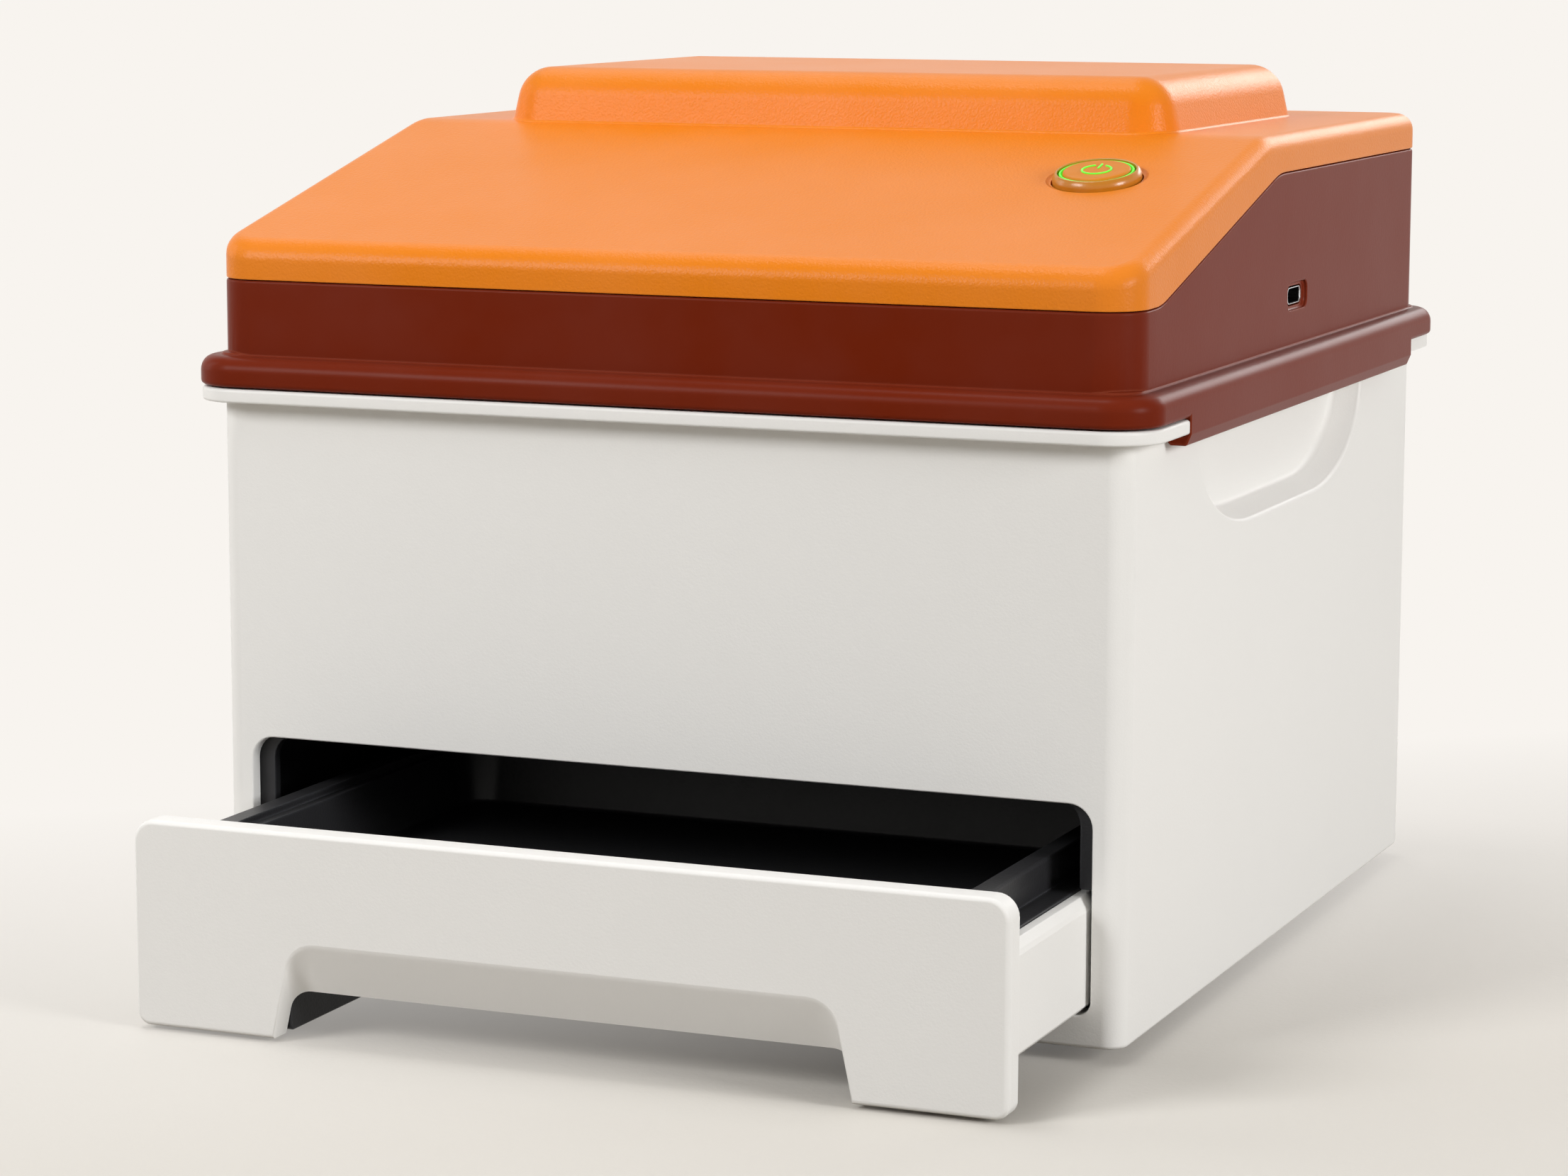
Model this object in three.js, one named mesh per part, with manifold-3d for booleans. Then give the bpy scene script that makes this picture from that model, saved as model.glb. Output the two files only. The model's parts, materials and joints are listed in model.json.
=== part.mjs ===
// Grain testing box: a white bin with a pull-out sample drawer, under a hooked-on
// head unit that looks down on the sample with a camera and ultraviolet lamps.
// Millimetres. +X is to the right, +Y to the back, +Z up. The origin is the centre
// of the bin's flat underside. The drawer is shown partly open.

import * as THREE from 'three';
import { mergeVertices } from 'three/addons/utils/BufferGeometryUtils.js';
import Module from 'manifold-3d';

const wasm = await Module();
wasm.setup();

// Clearances and overruns
const slideGap = 0.3;
const seatGap = 0.2;
const turnGap = 0.3;
const overrun = 2;

// Bin
const binInset = 0.8;
const binCorner = 4;
const binWall = 2.6;
const binFloor = 2.6;
const binEdge = 0.8;
const rimTop = 109.5;
const rimThickness = 2.6;
const rimEdge = 0.5;
const rimCorner = 8;
const rimInset = 0.2;
const sillHeight = 5.8;
const sillDepth = 6;
const openingMargin = 6;
const openingTop = 43.5;
const openingCorner = 4.4;
const openingFootCorner = 2.6;

// Hand grips in the sides of the bin
const gripLength = 110.6;
const gripDrop = 21.5;
const gripDepth = 5.8;
const gripCornerX = 34;
const gripCornerZ = 19;
const gripDraft = 2.6;
const gripWall = 2;
const gripMouth = 0.6;

// Foot pads
const padRadius = 6;
const padThickness = 3.6;
const padProud = 2.8;
const padInset = 16;

// Head unit
const headWidth = 180;
const headDepth = 193;
const headCorner = 8;
const headWall = 2.4;
const headFloor = 2.4;
const partingFront = 129.4;
const partingRear = 148.6;
const partingKinkFront = 14.7;
const partingKinkRear = 87.4;
const partingChamfer = 0.5;
const seamGap = 0.25;

// Bead and hooks of the head unit
const beadProud = 4.1;
const beadTop = 115.5;
const beadRadius = 2.8;
const beadShoulder = 0.15;
const beadCorner = 9.5;
const beadChamfer = 0.9;
const hookWall = 1.3;
const hookSetback = 20;
const hookBottom = 104.8;
const hookLip = 1.7;
const hookCrease = 2.1;
const hookBevel = 0.9;
const hookSideGap = 0.5;

// Cover
const coverWall = 2.5;
const coverFrontTop = 136.4;
const coverTop = 155.9;
const coverFold = 81;
const coverEdge = 3.4;
const coverHem = 0.3;
const humpSideInset = 20.2;
const humpFoldGap = 0.4;
const humpRearInset = 23;
const humpTop = 166.4;
const humpEdge = 7;
const humpCorner = 8.5;
const humpDraftShare = 0.14;

// Cover posts and screws
const postRadius = 3.5;
const postInsetX = 9;
const postInsetY = 10.5;
const screwRadius = 1.5;
const screwHeadRadius = 2.8;
const screwHeadHeight = 1.3;
const screwLength = 12;
const screwClearance = 0.3;

// Power button, measured from the middle of its face along the slope's normal
const buttonInset = 24.8;
const buttonBack = 53;
const bezelRadius = 8.25;
const bezelRise = 1.6;
const bezelBevel = 0.7;
const bezelCollar = 0.3;
const bezelWall = 0.95;
const bezelLength = 9;
const ringWidth = 0.55;
const capDepth = 1.7;
const buttonTravel = 1.2;
const plungerRadius = 2;
const plungerLength = 4.4;
const switchLength = 11;
const nutWidth = 20.4;
const nutHeight = 2.4;
const dishRadius = 10.2;
const dishDepth = 0.5;
const iconRadius = 3;
const iconStroke = 0.6;
const iconThickness = 0.3;
const iconSeat = 0.1;
const iconBar = 3.2;
const iconTip = 0.9;
const iconGap = 1.4;

// USB inlet
const usbBack = 100.6;
const usbRise = 12.6;
const usbRecessLength = 13.2;
const usbRecessHeight = 5.1;
const usbRecessDepth = 0.7;
const usbCornerShare = 0.7;
const usbShellLength = 8.94;
const usbShellHeight = 3.26;
const usbShellWall = 0.3;
const usbShellDepth = 7.4;
const usbTongueLength = 6.6;
const usbTongueHeight = 0.7;
const usbTongueDepth = 4.6;
const usbBoardLength = 18;
const usbBoardWidth = 11.4;

// Sample drawer
const drawerOpen = 37.2;
const drawerTravel = 72;
const frontOverlap = 0.3;
const frontTop = 35.9;
const frontBottom = -2;
const frontThickness = 5.2;
const frontTopCorner = 4;
const frontFootCorner = 2.5;
const frontEdge = 0.9;
const archHeight = 15.6;
const archFootWidth = 108.8;
const archTopWidth = 103.6;
const archCorner = 5.6;
const archFootCorner = 2;
const archRearHeight = 6.2;
const archRearTopWidth = 107.4;
const archRearCorner = 4.4;
const carrierSideGap = 0.9;
const carrierLength = 165;
const carrierBottom = 6.4;
const carrierTop = 27;
const carrierWall = 2.9;
const carrierFloor = 2.4;
const carrierFrontWall = 1.6;
const carrierBevel = 1.1;
const carrierBevelHeight = 2.5;
const carrierFoot = 1.2;
const ledgeWidth = 2.2;
const ledgeHeight = 2;
const ledgeDrop = 1.6;
const skidGap = 0.4;
const skidThickness = 2.5;
const skidLength = 34.6;
const skidTenon = 1.2;
const skidBottom = -1.7;
const tabHalf = 30;
const tabThickness = 4;
const tabDrop = 2.8;
const stopThickness = 4;
const frontScrewSpread = 62;
const frontScrewRise = 5;

// Sample tray
const trayFlange = 4.4;
const trayFlangeThickness = 1.8;
const trayRimWidth = 5.8;
const trayRimTop = 33.4;
const trayStep = 0.8;
const trayStepWidth = 2.5;
const trayFloorTop = 21.2;
const trayWall = 1.8;
const trayDraft = 2;
const trayCorner = 8;
const trayLength = 109;
const trayFrontRim = 3.6;
const trayOuterCorner = 3;

// Drawer guides and bezel
const guideWidth = 10;
const guideLip = 1.6;
const guideLipHeight = 18;
const guideGap = 0.4;
const trimThickness = 2.2;
const trimBand = 3.2;
const trimSideGap = 0.6;
const trimStep = 27.7;
const trimTop = 46.5;

// Chamber liner and light hood
const linerWall = 1.5;
const linerTop = 81;
const hoodPlate = 1.4;
const hoodWall = 1.5;
const collarMarginX = 1;
const collarMarginY = 2.6;
const collarTop = 107.3;
const collarCorner = 4;
const sealHeight = 1.9;
const sealProud = 1;

// Optics
const apertureMargin = 2;
const windowMargin = 3.5;
const windowThickness = 1.8;
const frameMargin = 2.5;
const frameThickness = 3;
const lampSetback = 12;
const lampInset = 16;
const lampWidth = 7;
const lampBoardMargin = 2.5;
const boardThickness = 1.6;
const ledSize = 3.4;
const ledHeight = 1;
const ledCount = 6;
const filterThickness = 1.2;
const lensRadius = 9;
const lensWall = 1.6;
const lensGlassThickness = 1.4;
const cameraWidth = 36;
const cameraHeight = 14;
const cameraCorner = 3;
const sensorWidth = 42;

// Electronics
const mainLeft = 4;
const mainSideGap = 9.6;
const mainFrontGap = 13.5;
const mainRearGap = 14.1;
const standoffHeight = 4.8;
const standoffRadius = 2.6;
const standoffInset = 4;
const chipWidth = 16;
const chipHeight = 1.4;
const sinkWidth = 28;
const sinkBase = 2;
const finHeight = 7;
const finThickness = 1.2;
const finCount = 6;
const batteryRight = -14;
const batterySideGap = 9.6;
const batteryFrontGap = 14.5;
const batteryRearGap = 19.1;
const batteryHeight = 18;
const batteryCorner = 4;
const strapWidth = 16;
const strapThickness = 1.4;
const strapFoot = 4.6;
const smallScrewRadius = 1;
const smallHeadRadius = 1.9;
const smallHeadHeight = 1.1;
const cableRadius = 1;
const cableClear = 1.4;
const switchPlugShare = 0.8;
const batteryPlugShare = 0.8;
const ribbonWidth = 12;
const ribbonThickness = 0.4;

// Facets
const arcSteps = 4;
const roundSides = 16;
const smallSides = 10;

// Worked-out places: head, bead, rim and bin
const headHalfX = headWidth / 2;
const headHalfY = headDepth / 2;
const headInnerX = headHalfX - headWall;
const headInnerY = headHalfY - headWall;
const headBottom = rimTop + slideGap;
const headFloorTop = headBottom + headFloor;
const beadHalfX = headHalfX + beadProud;
const beadHalfY = headHalfY + beadProud;
const hookHalf = headHalfY - hookSetback;
const rimHalfX = beadHalfX - rimInset;
const rimHalfY = beadHalfY - rimInset;
const rimBottom = rimTop - rimThickness;
const binHalfX = headHalfX - binInset;
const binHalfY = headHalfY - binInset;
const binFrontY = -binHalfY;
const innerHalfX = binHalfX - binWall;
const innerHalfY = binHalfY - binWall;
const gripFloorX = binHalfX - gripDepth;
const linerHalfX = innerHalfX - slideGap;
const linerHalfY = innerHalfY - slideGap;

// Worked-out places: drawer and tray
const openingHalfX = binHalfX - openingMargin;
const frontHalfX = openingHalfX + frontOverlap;
const carrierHalfX = openingHalfX - carrierSideGap;
const skidInner = archFootWidth / 2 + skidGap;
const drawerFrontRear = -headHalfY - drawerOpen;
const drawerCloseTravel = binFrontY - slideGap - drawerFrontRear;
const carrierFront = drawerFrontRear + seatGap;
const carrierRear = carrierFront + carrierLength;
const carrierBayFront = carrierFront + carrierFrontWall;
const trayFront = drawerFrontRear + slideGap;
const trayRear = trayFront + trayLength;
const trayFlangeHalfX = carrierHalfX - carrierWall - seatGap;
const trayRimHalfX = trayFlangeHalfX - trayFlange;
const trayFlangeBottom = carrierTop - ledgeDrop + seatGap;
const wellHalfX = trayRimHalfX - trayRimWidth;
const wellFront = trayFront + trayFrontRim;
const wellRear = trayRear - trayFlange - trayRimWidth;
const closedTrayY = (wellFront + wellRear) / 2 + drawerCloseTravel;

// Worked-out places: optics and electronics
const collarHalfX = wellHalfX + collarMarginX;
const collarHalfY = (wellRear - wellFront) / 2 - collarMarginY;
const lampOffset = collarHalfY - lampSetback;
const lampLength = 2 * (collarHalfX - lampInset);
const windowTop = headFloorTop + seatGap + windowThickness;
const frameBottom = windowTop + seatGap;
const frameTop = frameBottom + frameThickness;
const frameHalfX = collarHalfX - apertureMargin + windowMargin + frameMargin;
const frameHalfY = collarHalfY - apertureMargin + windowMargin + frameMargin;
const frameRear = closedTrayY + frameHalfY;
const usbY = usbBack - headHalfY;
const usbHeight = headFloorTop + usbRise;
const mainBottom = headFloorTop + standoffHeight + seatGap;
const mainTop = mainBottom + boardThickness;
const mainWidth = headInnerX - mainSideGap - mainLeft;
const mainFront = frameRear + mainFrontGap;
const mainDepth = headInnerY - mainRearGap - mainFront;
const batteryLeft = batterySideGap - headInnerX;
const batteryWidth = batteryRight - batteryLeft;
const batteryFront = frameRear + batteryFrontGap;
const batteryDepth = headInnerY - batteryRearGap - batteryFront;

// Worked-out places: cover, button and hooks
const coverSlope = (coverTop - coverFrontTop) / coverFold;
const slopeAngle = Math.atan(coverSlope);
const buttonX = headHalfX - buttonInset;
const hookLipTop = hookBottom + hookLip;

// Height of the parting line, and of the cover's top, at a place y
function partingZ(y) {
  const back = y + headHalfY;
  const run = partingKinkRear - partingKinkFront;
  const share = THREE.MathUtils.clamp((back - partingKinkFront) / run, 0, 1);
  return THREE.MathUtils.lerp(partingFront, partingRear, share);
}

function coverZ(y) {
  return Math.min(coverTop, coverFrontTop + coverSlope * (y + headHalfY));
}

// Solids and meshes
function solidOf(geometry) {
  const bare = geometry.clone();
  bare.deleteAttribute('normal');
  bare.deleteAttribute('uv');
  const merged = mergeVertices(bare);
  const vertProperties = new Float32Array(merged.attributes.position.array);
  const triVerts = new Uint32Array(merged.index.array);
  return new wasm.Manifold(new wasm.Mesh({ numProp: 3, vertProperties, triVerts }));
}

function geometryOf(solid) {
  const mesh = solid.getMesh();
  const geometry = new THREE.BufferGeometry();
  geometry.setAttribute('position', new THREE.BufferAttribute(mesh.vertProperties, 3));
  geometry.setIndex(new THREE.BufferAttribute(mesh.triVerts, 1));
  return geometry;
}

function joined(solids) {
  return solids.reduce((sum, next) => sum.add(next));
}

function cutBy(solid, tools) {
  return tools.reduce((rest, tool) => rest.subtract(tool), solid);
}

// A closed body through rings that have the same number of points, capped by the
// given triangles
function ringBody(rings, cap) {
  const count = rings[0].length;
  const positions = rings.flat().flatMap((point) => point.toArray());
  const index = [];
  const lastRing = (rings.length - 1) * count;
  for (const [a, b, c] of cap) {
    index.push(a, c, b);
    index.push(lastRing + a, lastRing + b, lastRing + c);
  }
  for (let ring = 0; ring < rings.length - 1; ring += 1) {
    for (let i = 0; i < count; i += 1) {
      const a = ring * count + i;
      const b = ring * count + ((i + 1) % count);
      index.push(a, b, b + count);
      index.push(a, b + count, a + count);
    }
  }
  const geometry = new THREE.BufferGeometry();
  geometry.setAttribute('position', new THREE.Float32BufferAttribute(positions, 3));
  geometry.setIndex(index);
  return solidOf(geometry);
}

// The right half of a rounded rectangle, from its front to its back
function halfOutline(halfX, front, back, corner, kinks) {
  const points = [];
  for (let step = 0; step <= arcSteps; step += 1) {
    const angle = (step / arcSteps - 1) * (Math.PI / 2);
    const x = halfX - corner + corner * Math.cos(angle);
    points.push([x, front + corner + corner * Math.sin(angle)]);
  }
  for (const y of kinks) {
    points.push([halfX, y]);
  }
  for (let step = 0; step <= arcSteps; step += 1) {
    const angle = (step / arcSteps) * (Math.PI / 2);
    const x = halfX - corner + corner * Math.cos(angle);
    points.push([x, back - corner + corner * Math.sin(angle)]);
  }
  return points;
}

// A rounded rectangle stacked up through levels. Each level has an inset and a
// height, which may be a function of y
function stack({ halfX, front, back, corner, kinks = [], levels }) {
  const least = corner / 10;
  const rings = levels.map(([inset, height]) => {
    const radius = Math.max(corner - inset, least);
    const half = halfOutline(halfX - inset, front + inset, back - inset, radius, kinks);
    const left = half.map(([x, y]) => [-x, y]).reverse();
    const heightAt = typeof height === 'function' ? height : () => height;
    return [...half, ...left].map(([x, y]) => new THREE.Vector3(x, y, heightAt(y)));
  });
  const count = rings[0].length;
  const cap = [];
  for (let i = 0; i < count / 2 - 1; i += 1) {
    cap.push([count - 1 - i, i, i + 1]);
    cap.push([count - 1 - i, i + 1, count - 2 - i]);
  }
  return ringBody(rings, cap);
}

// Levels that round a top edge below a height function. The arc begins where its
// wall leans in by the given angle
function roundedLevels(radius, heightAt, steps, lean = 0) {
  const levels = [];
  for (let step = 0; step <= steps; step += 1) {
    const angle = THREE.MathUtils.lerp(lean, Math.PI / 2, step / steps);
    const inset = radius * (Math.cos(lean) - Math.cos(angle));
    const drop = radius * (1 - Math.sin(angle));
    levels.push([inset, (y) => heightAt(y) - drop]);
  }
  return levels;
}

// A polygon whose corners [x, y, radius] are rounded
function roundedPolygon(corners) {
  const outline = [];
  corners.forEach(([x, y, radius], i) => {
    const here = new THREE.Vector2(x, y);
    if (radius === 0) {
      outline.push(here);
      return;
    }
    const before = corners.at(i - 1);
    const after = corners[(i + 1) % corners.length];
    const toBefore = new THREE.Vector2(before[0] - x, before[1] - y).normalize();
    const toAfter = new THREE.Vector2(after[0] - x, after[1] - y).normalize();
    const half = Math.acos(THREE.MathUtils.clamp(toBefore.dot(toAfter), -1, 1)) / 2;
    const middle = toBefore.clone().add(toAfter).normalize();
    const centre = here.clone().addScaledVector(middle, radius / Math.sin(half));
    const start = here.clone().addScaledVector(toBefore, radius / Math.tan(half));
    const end = here.clone().addScaledVector(toAfter, radius / Math.tan(half));
    const from = start.clone().sub(centre).angle();
    let sweep = end.clone().sub(centre).angle() - from;
    if (sweep > Math.PI) sweep -= 2 * Math.PI;
    if (sweep < -Math.PI) sweep += 2 * Math.PI;
    for (let step = 0; step <= arcSteps; step += 1) {
      const angle = from + (sweep * step) / arcSteps;
      const reach = new THREE.Vector2(Math.cos(angle), Math.sin(angle));
      outline.push(centre.clone().addScaledVector(reach, radius));
    }
  });
  return outline;
}

const axes = {
  x: new THREE.Matrix4().makeBasis(
    new THREE.Vector3(0, 1, 0),
    new THREE.Vector3(0, 0, 1),
    new THREE.Vector3(1, 0, 0),
  ),
  y: new THREE.Matrix4().makeBasis(
    new THREE.Vector3(-1, 0, 0),
    new THREE.Vector3(0, 0, 1),
    new THREE.Vector3(0, 1, 0),
  ),
  z: new THREE.Matrix4(),
};

// An outline extruded along x (outline in y, z), y (outline in -x, z) or z (x, y)
function extruded(outline, axis, from, to) {
  const shape = new THREE.Shape(outline);
  const geometry = new THREE.ExtrudeGeometry(shape, { depth: to - from, bevelEnabled: false });
  geometry.translate(0, 0, from);
  geometry.applyMatrix4(axes[axis]);
  return solidOf(geometry);
}

// An outline of [x, z, radius] corners extruded along y
function extrudedAlongY(corners, from, to) {
  const flipped = corners.map(([x, z, radius]) => [-x, z, radius]).reverse();
  return extruded(roundedPolygon(flipped), 'y', from, to);
}

function rectangle(x0, x1, y0, y1, radius) {
  return [
    [x0, y0, radius],
    [x1, y0, radius],
    [x1, y1, radius],
    [x0, y1, radius],
  ];
}

function box(x0, x1, y0, y1, z0, z1) {
  const geometry = new THREE.BoxGeometry(x1 - x0, y1 - y0, z1 - z0);
  geometry.translate((x0 + x1) / 2, (y0 + y1) / 2, (z0 + z1) / 2);
  return solidOf(geometry);
}

function upright(x, y, z0, z1, radius, sides = smallSides) {
  const geometry = new THREE.CylinderGeometry(radius, radius, z1 - z0, sides);
  geometry.rotateX(Math.PI / 2);
  geometry.translate(x, y, (z0 + z1) / 2);
  return solidOf(geometry);
}

// A turned body about +Z: a list of [radius, height], closed on itself or the axis
function turned(profile, sides = 2 * roundSides) {
  const points = profile.map(([radius, height]) => new THREE.Vector2(radius, height));
  const geometry = new THREE.LatheGeometry(points, sides);
  geometry.rotateX(Math.PI / 2);
  return solidOf(geometry);
}

function tube(inner, outer, z0, z1) {
  return turned([
    [inner, z0],
    [outer, z0],
    [outer, z1],
    [inner, z1],
    [inner, z0],
  ]);
}

// A screw that points down, its head's underside at z
function screwDown(x, y, z, radius, headRadius, headHeight, length) {
  const shank = upright(x, y, z - length, z + headHeight / 2, radius);
  return shank.add(upright(x, y, z, z + headHeight, headRadius));
}

function cableAlong(points, outline) {
  const path = new THREE.CatmullRomCurve3(points, false, 'centripetal');
  const shape = new THREE.Shape(outline);
  const steps = 4 * points.length;
  const options = { steps, bevelEnabled: false, extrudePath: path };
  return solidOf(new THREE.ExtrudeGeometry(shape, options));
}

function roundOutline(radius, sides) {
  const angles = Array.from({ length: sides }, (_, i) => (2 * Math.PI * i) / sides);
  return angles.map((angle) => new THREE.Vector2(Math.cos(angle), Math.sin(angle))
    .multiplyScalar(radius));
}

const place = (x, y, z) => new THREE.Vector3(x, y, z);
const bothSides = [-1, 1];
const corners = bothSides.flatMap((sideX) => bothSides.map((sideY) => [sideX, sideY]));
const sideNames = ['left', 'right'];
const cornerNames = ['front_left', 'rear_left', 'front_right', 'rear_right'];

// Finishes
const finishes = {
  whitePlastic: { color: 0xe4e2dd, roughness: 0.5, metalness: 0 },
  orangePlastic: { color: 0xf0913a, roughness: 0.42, metalness: 0 },
  maroonPlastic: { color: 0x74301f, roughness: 0.28, metalness: 0 },
  blackPlastic: { color: 0x17181a, roughness: 0.45, metalness: 0 },
  blackRubber: { color: 0x1c1c1d, roughness: 0.85, metalness: 0 },
  steel: { color: 0xb9bcc0, roughness: 0.3, metalness: 1 },
  aluminium: { color: 0xc3c6ca, roughness: 0.4, metalness: 1 },
  amberMetal: { color: 0xc98a1e, roughness: 0.25, metalness: 0.8 },
  amberPlastic: { color: 0xde8c2c, roughness: 0.4, metalness: 0 },
  greenLight: { color: 0x49e51f, roughness: 0.4, metalness: 0 },
  glass: { color: 0xdfe8ea, roughness: 0.05, metalness: 0 },
  violetGlass: { color: 0x3a2a6a, roughness: 0.08, metalness: 0 },
  greenBoard: { color: 0x1f5a3a, roughness: 0.5, metalness: 0 },
  blueWrap: { color: 0x2f5f9e, roughness: 0.45, metalness: 0 },
  greyCable: { color: 0x6d6f73, roughness: 0.6, metalness: 0 },
};

const part = new THREE.Group();

function addPart(name, solid, finish, group = part) {
  const material = new THREE.MeshStandardMaterial(finishes[finish]);
  const mesh = new THREE.Mesh(geometryOf(solid), material);
  mesh.name = name;
  group.add(mesh);
}

// White bin

// The body of a hand grip from its mouth in the wall to its floor, grown by a wall
function gripBody(side, grow, mouthX, floorX) {
  const ring = (x, inset) => {
    const points = [];
    const low = rimBottom - gripDrop - grow + inset;
    const half = gripLength / 2 + grow - inset;
    for (let step = 0; step <= 2 * arcSteps; step += 1) {
      const angle = (step / (2 * arcSteps)) * (Math.PI / 2);
      const y = half - (gripCornerX + grow - inset) * (1 - Math.sin(angle));
      points.push([y, low + (gripCornerZ + grow - inset) * (1 - Math.cos(angle))]);
    }
    const top = rimBottom + grow;
    points.push([half, top]);
    points.push([-half, top]);
    const mirrored = points.slice(0, -2).map(([y, z]) => [-y, z]).reverse();
    return [...points, ...mirrored].map(([y, z]) => place(side * x, y, z));
  };
  const rings = [ring(mouthX, 0), ring(floorX, gripDraft)];
  const outline = rings[0].map((point) => new THREE.Vector2(point.y, point.z));
  const cap = THREE.ShapeUtils.triangulateShape(outline, []);
  return ringBody(side > 0 ? rings.reverse() : rings, cap);
}

// The finger space of a hand grip, which ends under the rim
function gripRecess(side) {
  const rimRing = box(-rimHalfX, rimHalfX, -rimHalfY, rimHalfY, rimBottom, rimTop);
  return gripBody(side, 0, binHalfX + gripMouth, gripFloorX).subtract(rimRing);
}

function makeBin() {
  const body = stack({
    halfX: binHalfX,
    front: -binHalfY,
    back: binHalfY,
    corner: binCorner,
    levels: [[binEdge, 0], [0, binEdge], [0, rimTop]],
  });
  const rim = stack({
    halfX: rimHalfX,
    front: -rimHalfY,
    back: rimHalfY,
    corner: rimCorner,
    levels: [
      [rimEdge, rimBottom],
      [0, rimBottom + rimEdge],
      [0, rimTop - rimEdge],
      [rimEdge, rimTop],
    ],
  });
  const hollow = stack({
    halfX: innerHalfX,
    front: -innerHalfY,
    back: innerHalfY,
    corner: binCorner - binWall,
    levels: [[0, binFloor], [0, rimTop + overrun]],
  });
  const sill = box(
    -innerHalfX - overrun / 2,
    innerHalfX + overrun / 2,
    binFrontY + binWall / 2,
    binFrontY + sillDepth,
    binFloor / 2,
    sillHeight,
  );
  const opening = extrudedAlongY([
    [-openingHalfX, sillHeight, openingFootCorner],
    [openingHalfX, sillHeight, openingFootCorner],
    [openingHalfX, openingTop, openingCorner],
    [-openingHalfX, openingTop, openingCorner],
  ], binFrontY - overrun, binFrontY + sillDepth + overrun);
  const notchX = beadHalfX - hookWall - slideGap;
  const notches = bothSides.map((side) => box(
    side > 0 ? notchX : -rimHalfX - overrun,
    side > 0 ? rimHalfX + overrun : -notchX,
    -hookHalf - slideGap,
    rimHalfY + overrun,
    rimBottom - overrun,
    rimTop + overrun,
  ));
  const recesses = bothSides.map((side) => gripRecess(side));
  const skidSlot = skidThickness + 2 * guideGap;
  const slots = bothSides.map((side) => {
    const middle = side * (skidInner + skidThickness / 2);
    return box(
      middle - skidSlot / 2,
      middle + skidSlot / 2,
      binFrontY - overrun,
      carrierFront + skidLength + drawerCloseTravel + guideGap,
      -overrun,
      sillHeight + overrun,
    );
  });
  const padRecesses = corners.map(([sideX, sideY]) => upright(
    sideX * (binHalfX - padInset),
    sideY * (binHalfY - padInset),
    -overrun,
    padThickness - padProud + seatGap,
    padRadius + slideGap,
    roundSides,
  ));
  const shell = cutBy(body.add(rim), [hollow]).add(sill);
  return cutBy(shell, [opening, ...notches, ...recesses, ...slots, ...padRecesses]);
}

// White cup behind the window of a hand grip, bonded to the wall's inside
function makeGripCup(side) {
  const mouth = innerHalfX - seatGap;
  return gripBody(side, gripWall, mouth, gripFloorX - gripWall).subtract(gripRecess(side));
}

function makePad([sideX, sideY]) {
  return upright(
    sideX * (binHalfX - padInset),
    sideY * (binHalfY - padInset),
    -padProud,
    padThickness - padProud,
    padRadius,
    roundSides,
  );
}

// Black bezel behind the drawer opening, stepped round the drawer
function makeTrim() {
  const outer = innerHalfX - binCorner + binWall;
  const wide = openingHalfX - trimSideGap / 2;
  const narrow = openingHalfX - trimBand;
  const foot = sillHeight + slideGap;
  const front = binFrontY + binWall + seatGap;
  return extrudedAlongY([
    [-outer, foot, 0],
    [-wide, foot, 0],
    [-wide, trimStep, 0],
    [-narrow, trimStep, 0],
    [-narrow, openingTop, openingCorner],
    [narrow, openingTop, openingCorner],
    [narrow, trimStep, 0],
    [wide, trimStep, 0],
    [wide, foot, 0],
    [outer, foot, 0],
    [outer, trimTop, 0],
    [-outer, trimTop, 0],
  ], front, front + trimThickness);
}

function makeLiner() {
  const tall = { halfX: linerHalfX, front: -linerHalfY, back: linerHalfY, corner: binCorner - binWall };
  const outer = stack({ ...tall, levels: [[0, binFloor + slideGap], [0, linerTop]] });
  const inner = stack({
    ...tall,
    levels: [[linerWall, binFloor - overrun], [linerWall, linerTop + overrun]],
  });
  const doorway = box(
    -linerHalfX - overrun,
    linerHalfX + overrun,
    -linerHalfY - overrun,
    binFrontY + sillDepth + slideGap,
    binFloor - overrun,
    trimTop + slideGap,
  );
  return cutBy(outer, [inner, doorway]);
}

function makeGuide(side) {
  const outer = linerHalfX - linerWall - guideGap;
  const lip = carrierHalfX + guideGap;
  const low = binFloor + slideGap;
  const top = carrierBottom - slideGap;
  const profile = [
    [lip - guideWidth, low, 0],
    [outer, low, 0],
    [outer, top + guideLipHeight, 0],
    [Math.min(lip, outer - guideLip / 2), top + guideLipHeight, 0],
    [Math.min(lip, outer - guideLip / 2), top, 0],
    [lip - guideWidth, top, 0],
  ];
  const placed = side > 0 ? profile : profile.map(([x, z, radius]) => [-x, z, radius]).reverse();
  const front = binFrontY + sillDepth + slideGap;
  return extrudedAlongY(placed, front, linerHalfY - linerWall - slideGap);
}

// Rubber strip on the floor that the carrier's tab meets when the drawer is out
function makeStop() {
  const face = carrierRear - tabThickness - drawerTravel - slideGap;
  return box(
    -tabHalf,
    tabHalf,
    face - stopThickness,
    face,
    binFloor + seatGap,
    carrierBottom - slideGap - seatGap,
  );
}

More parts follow.
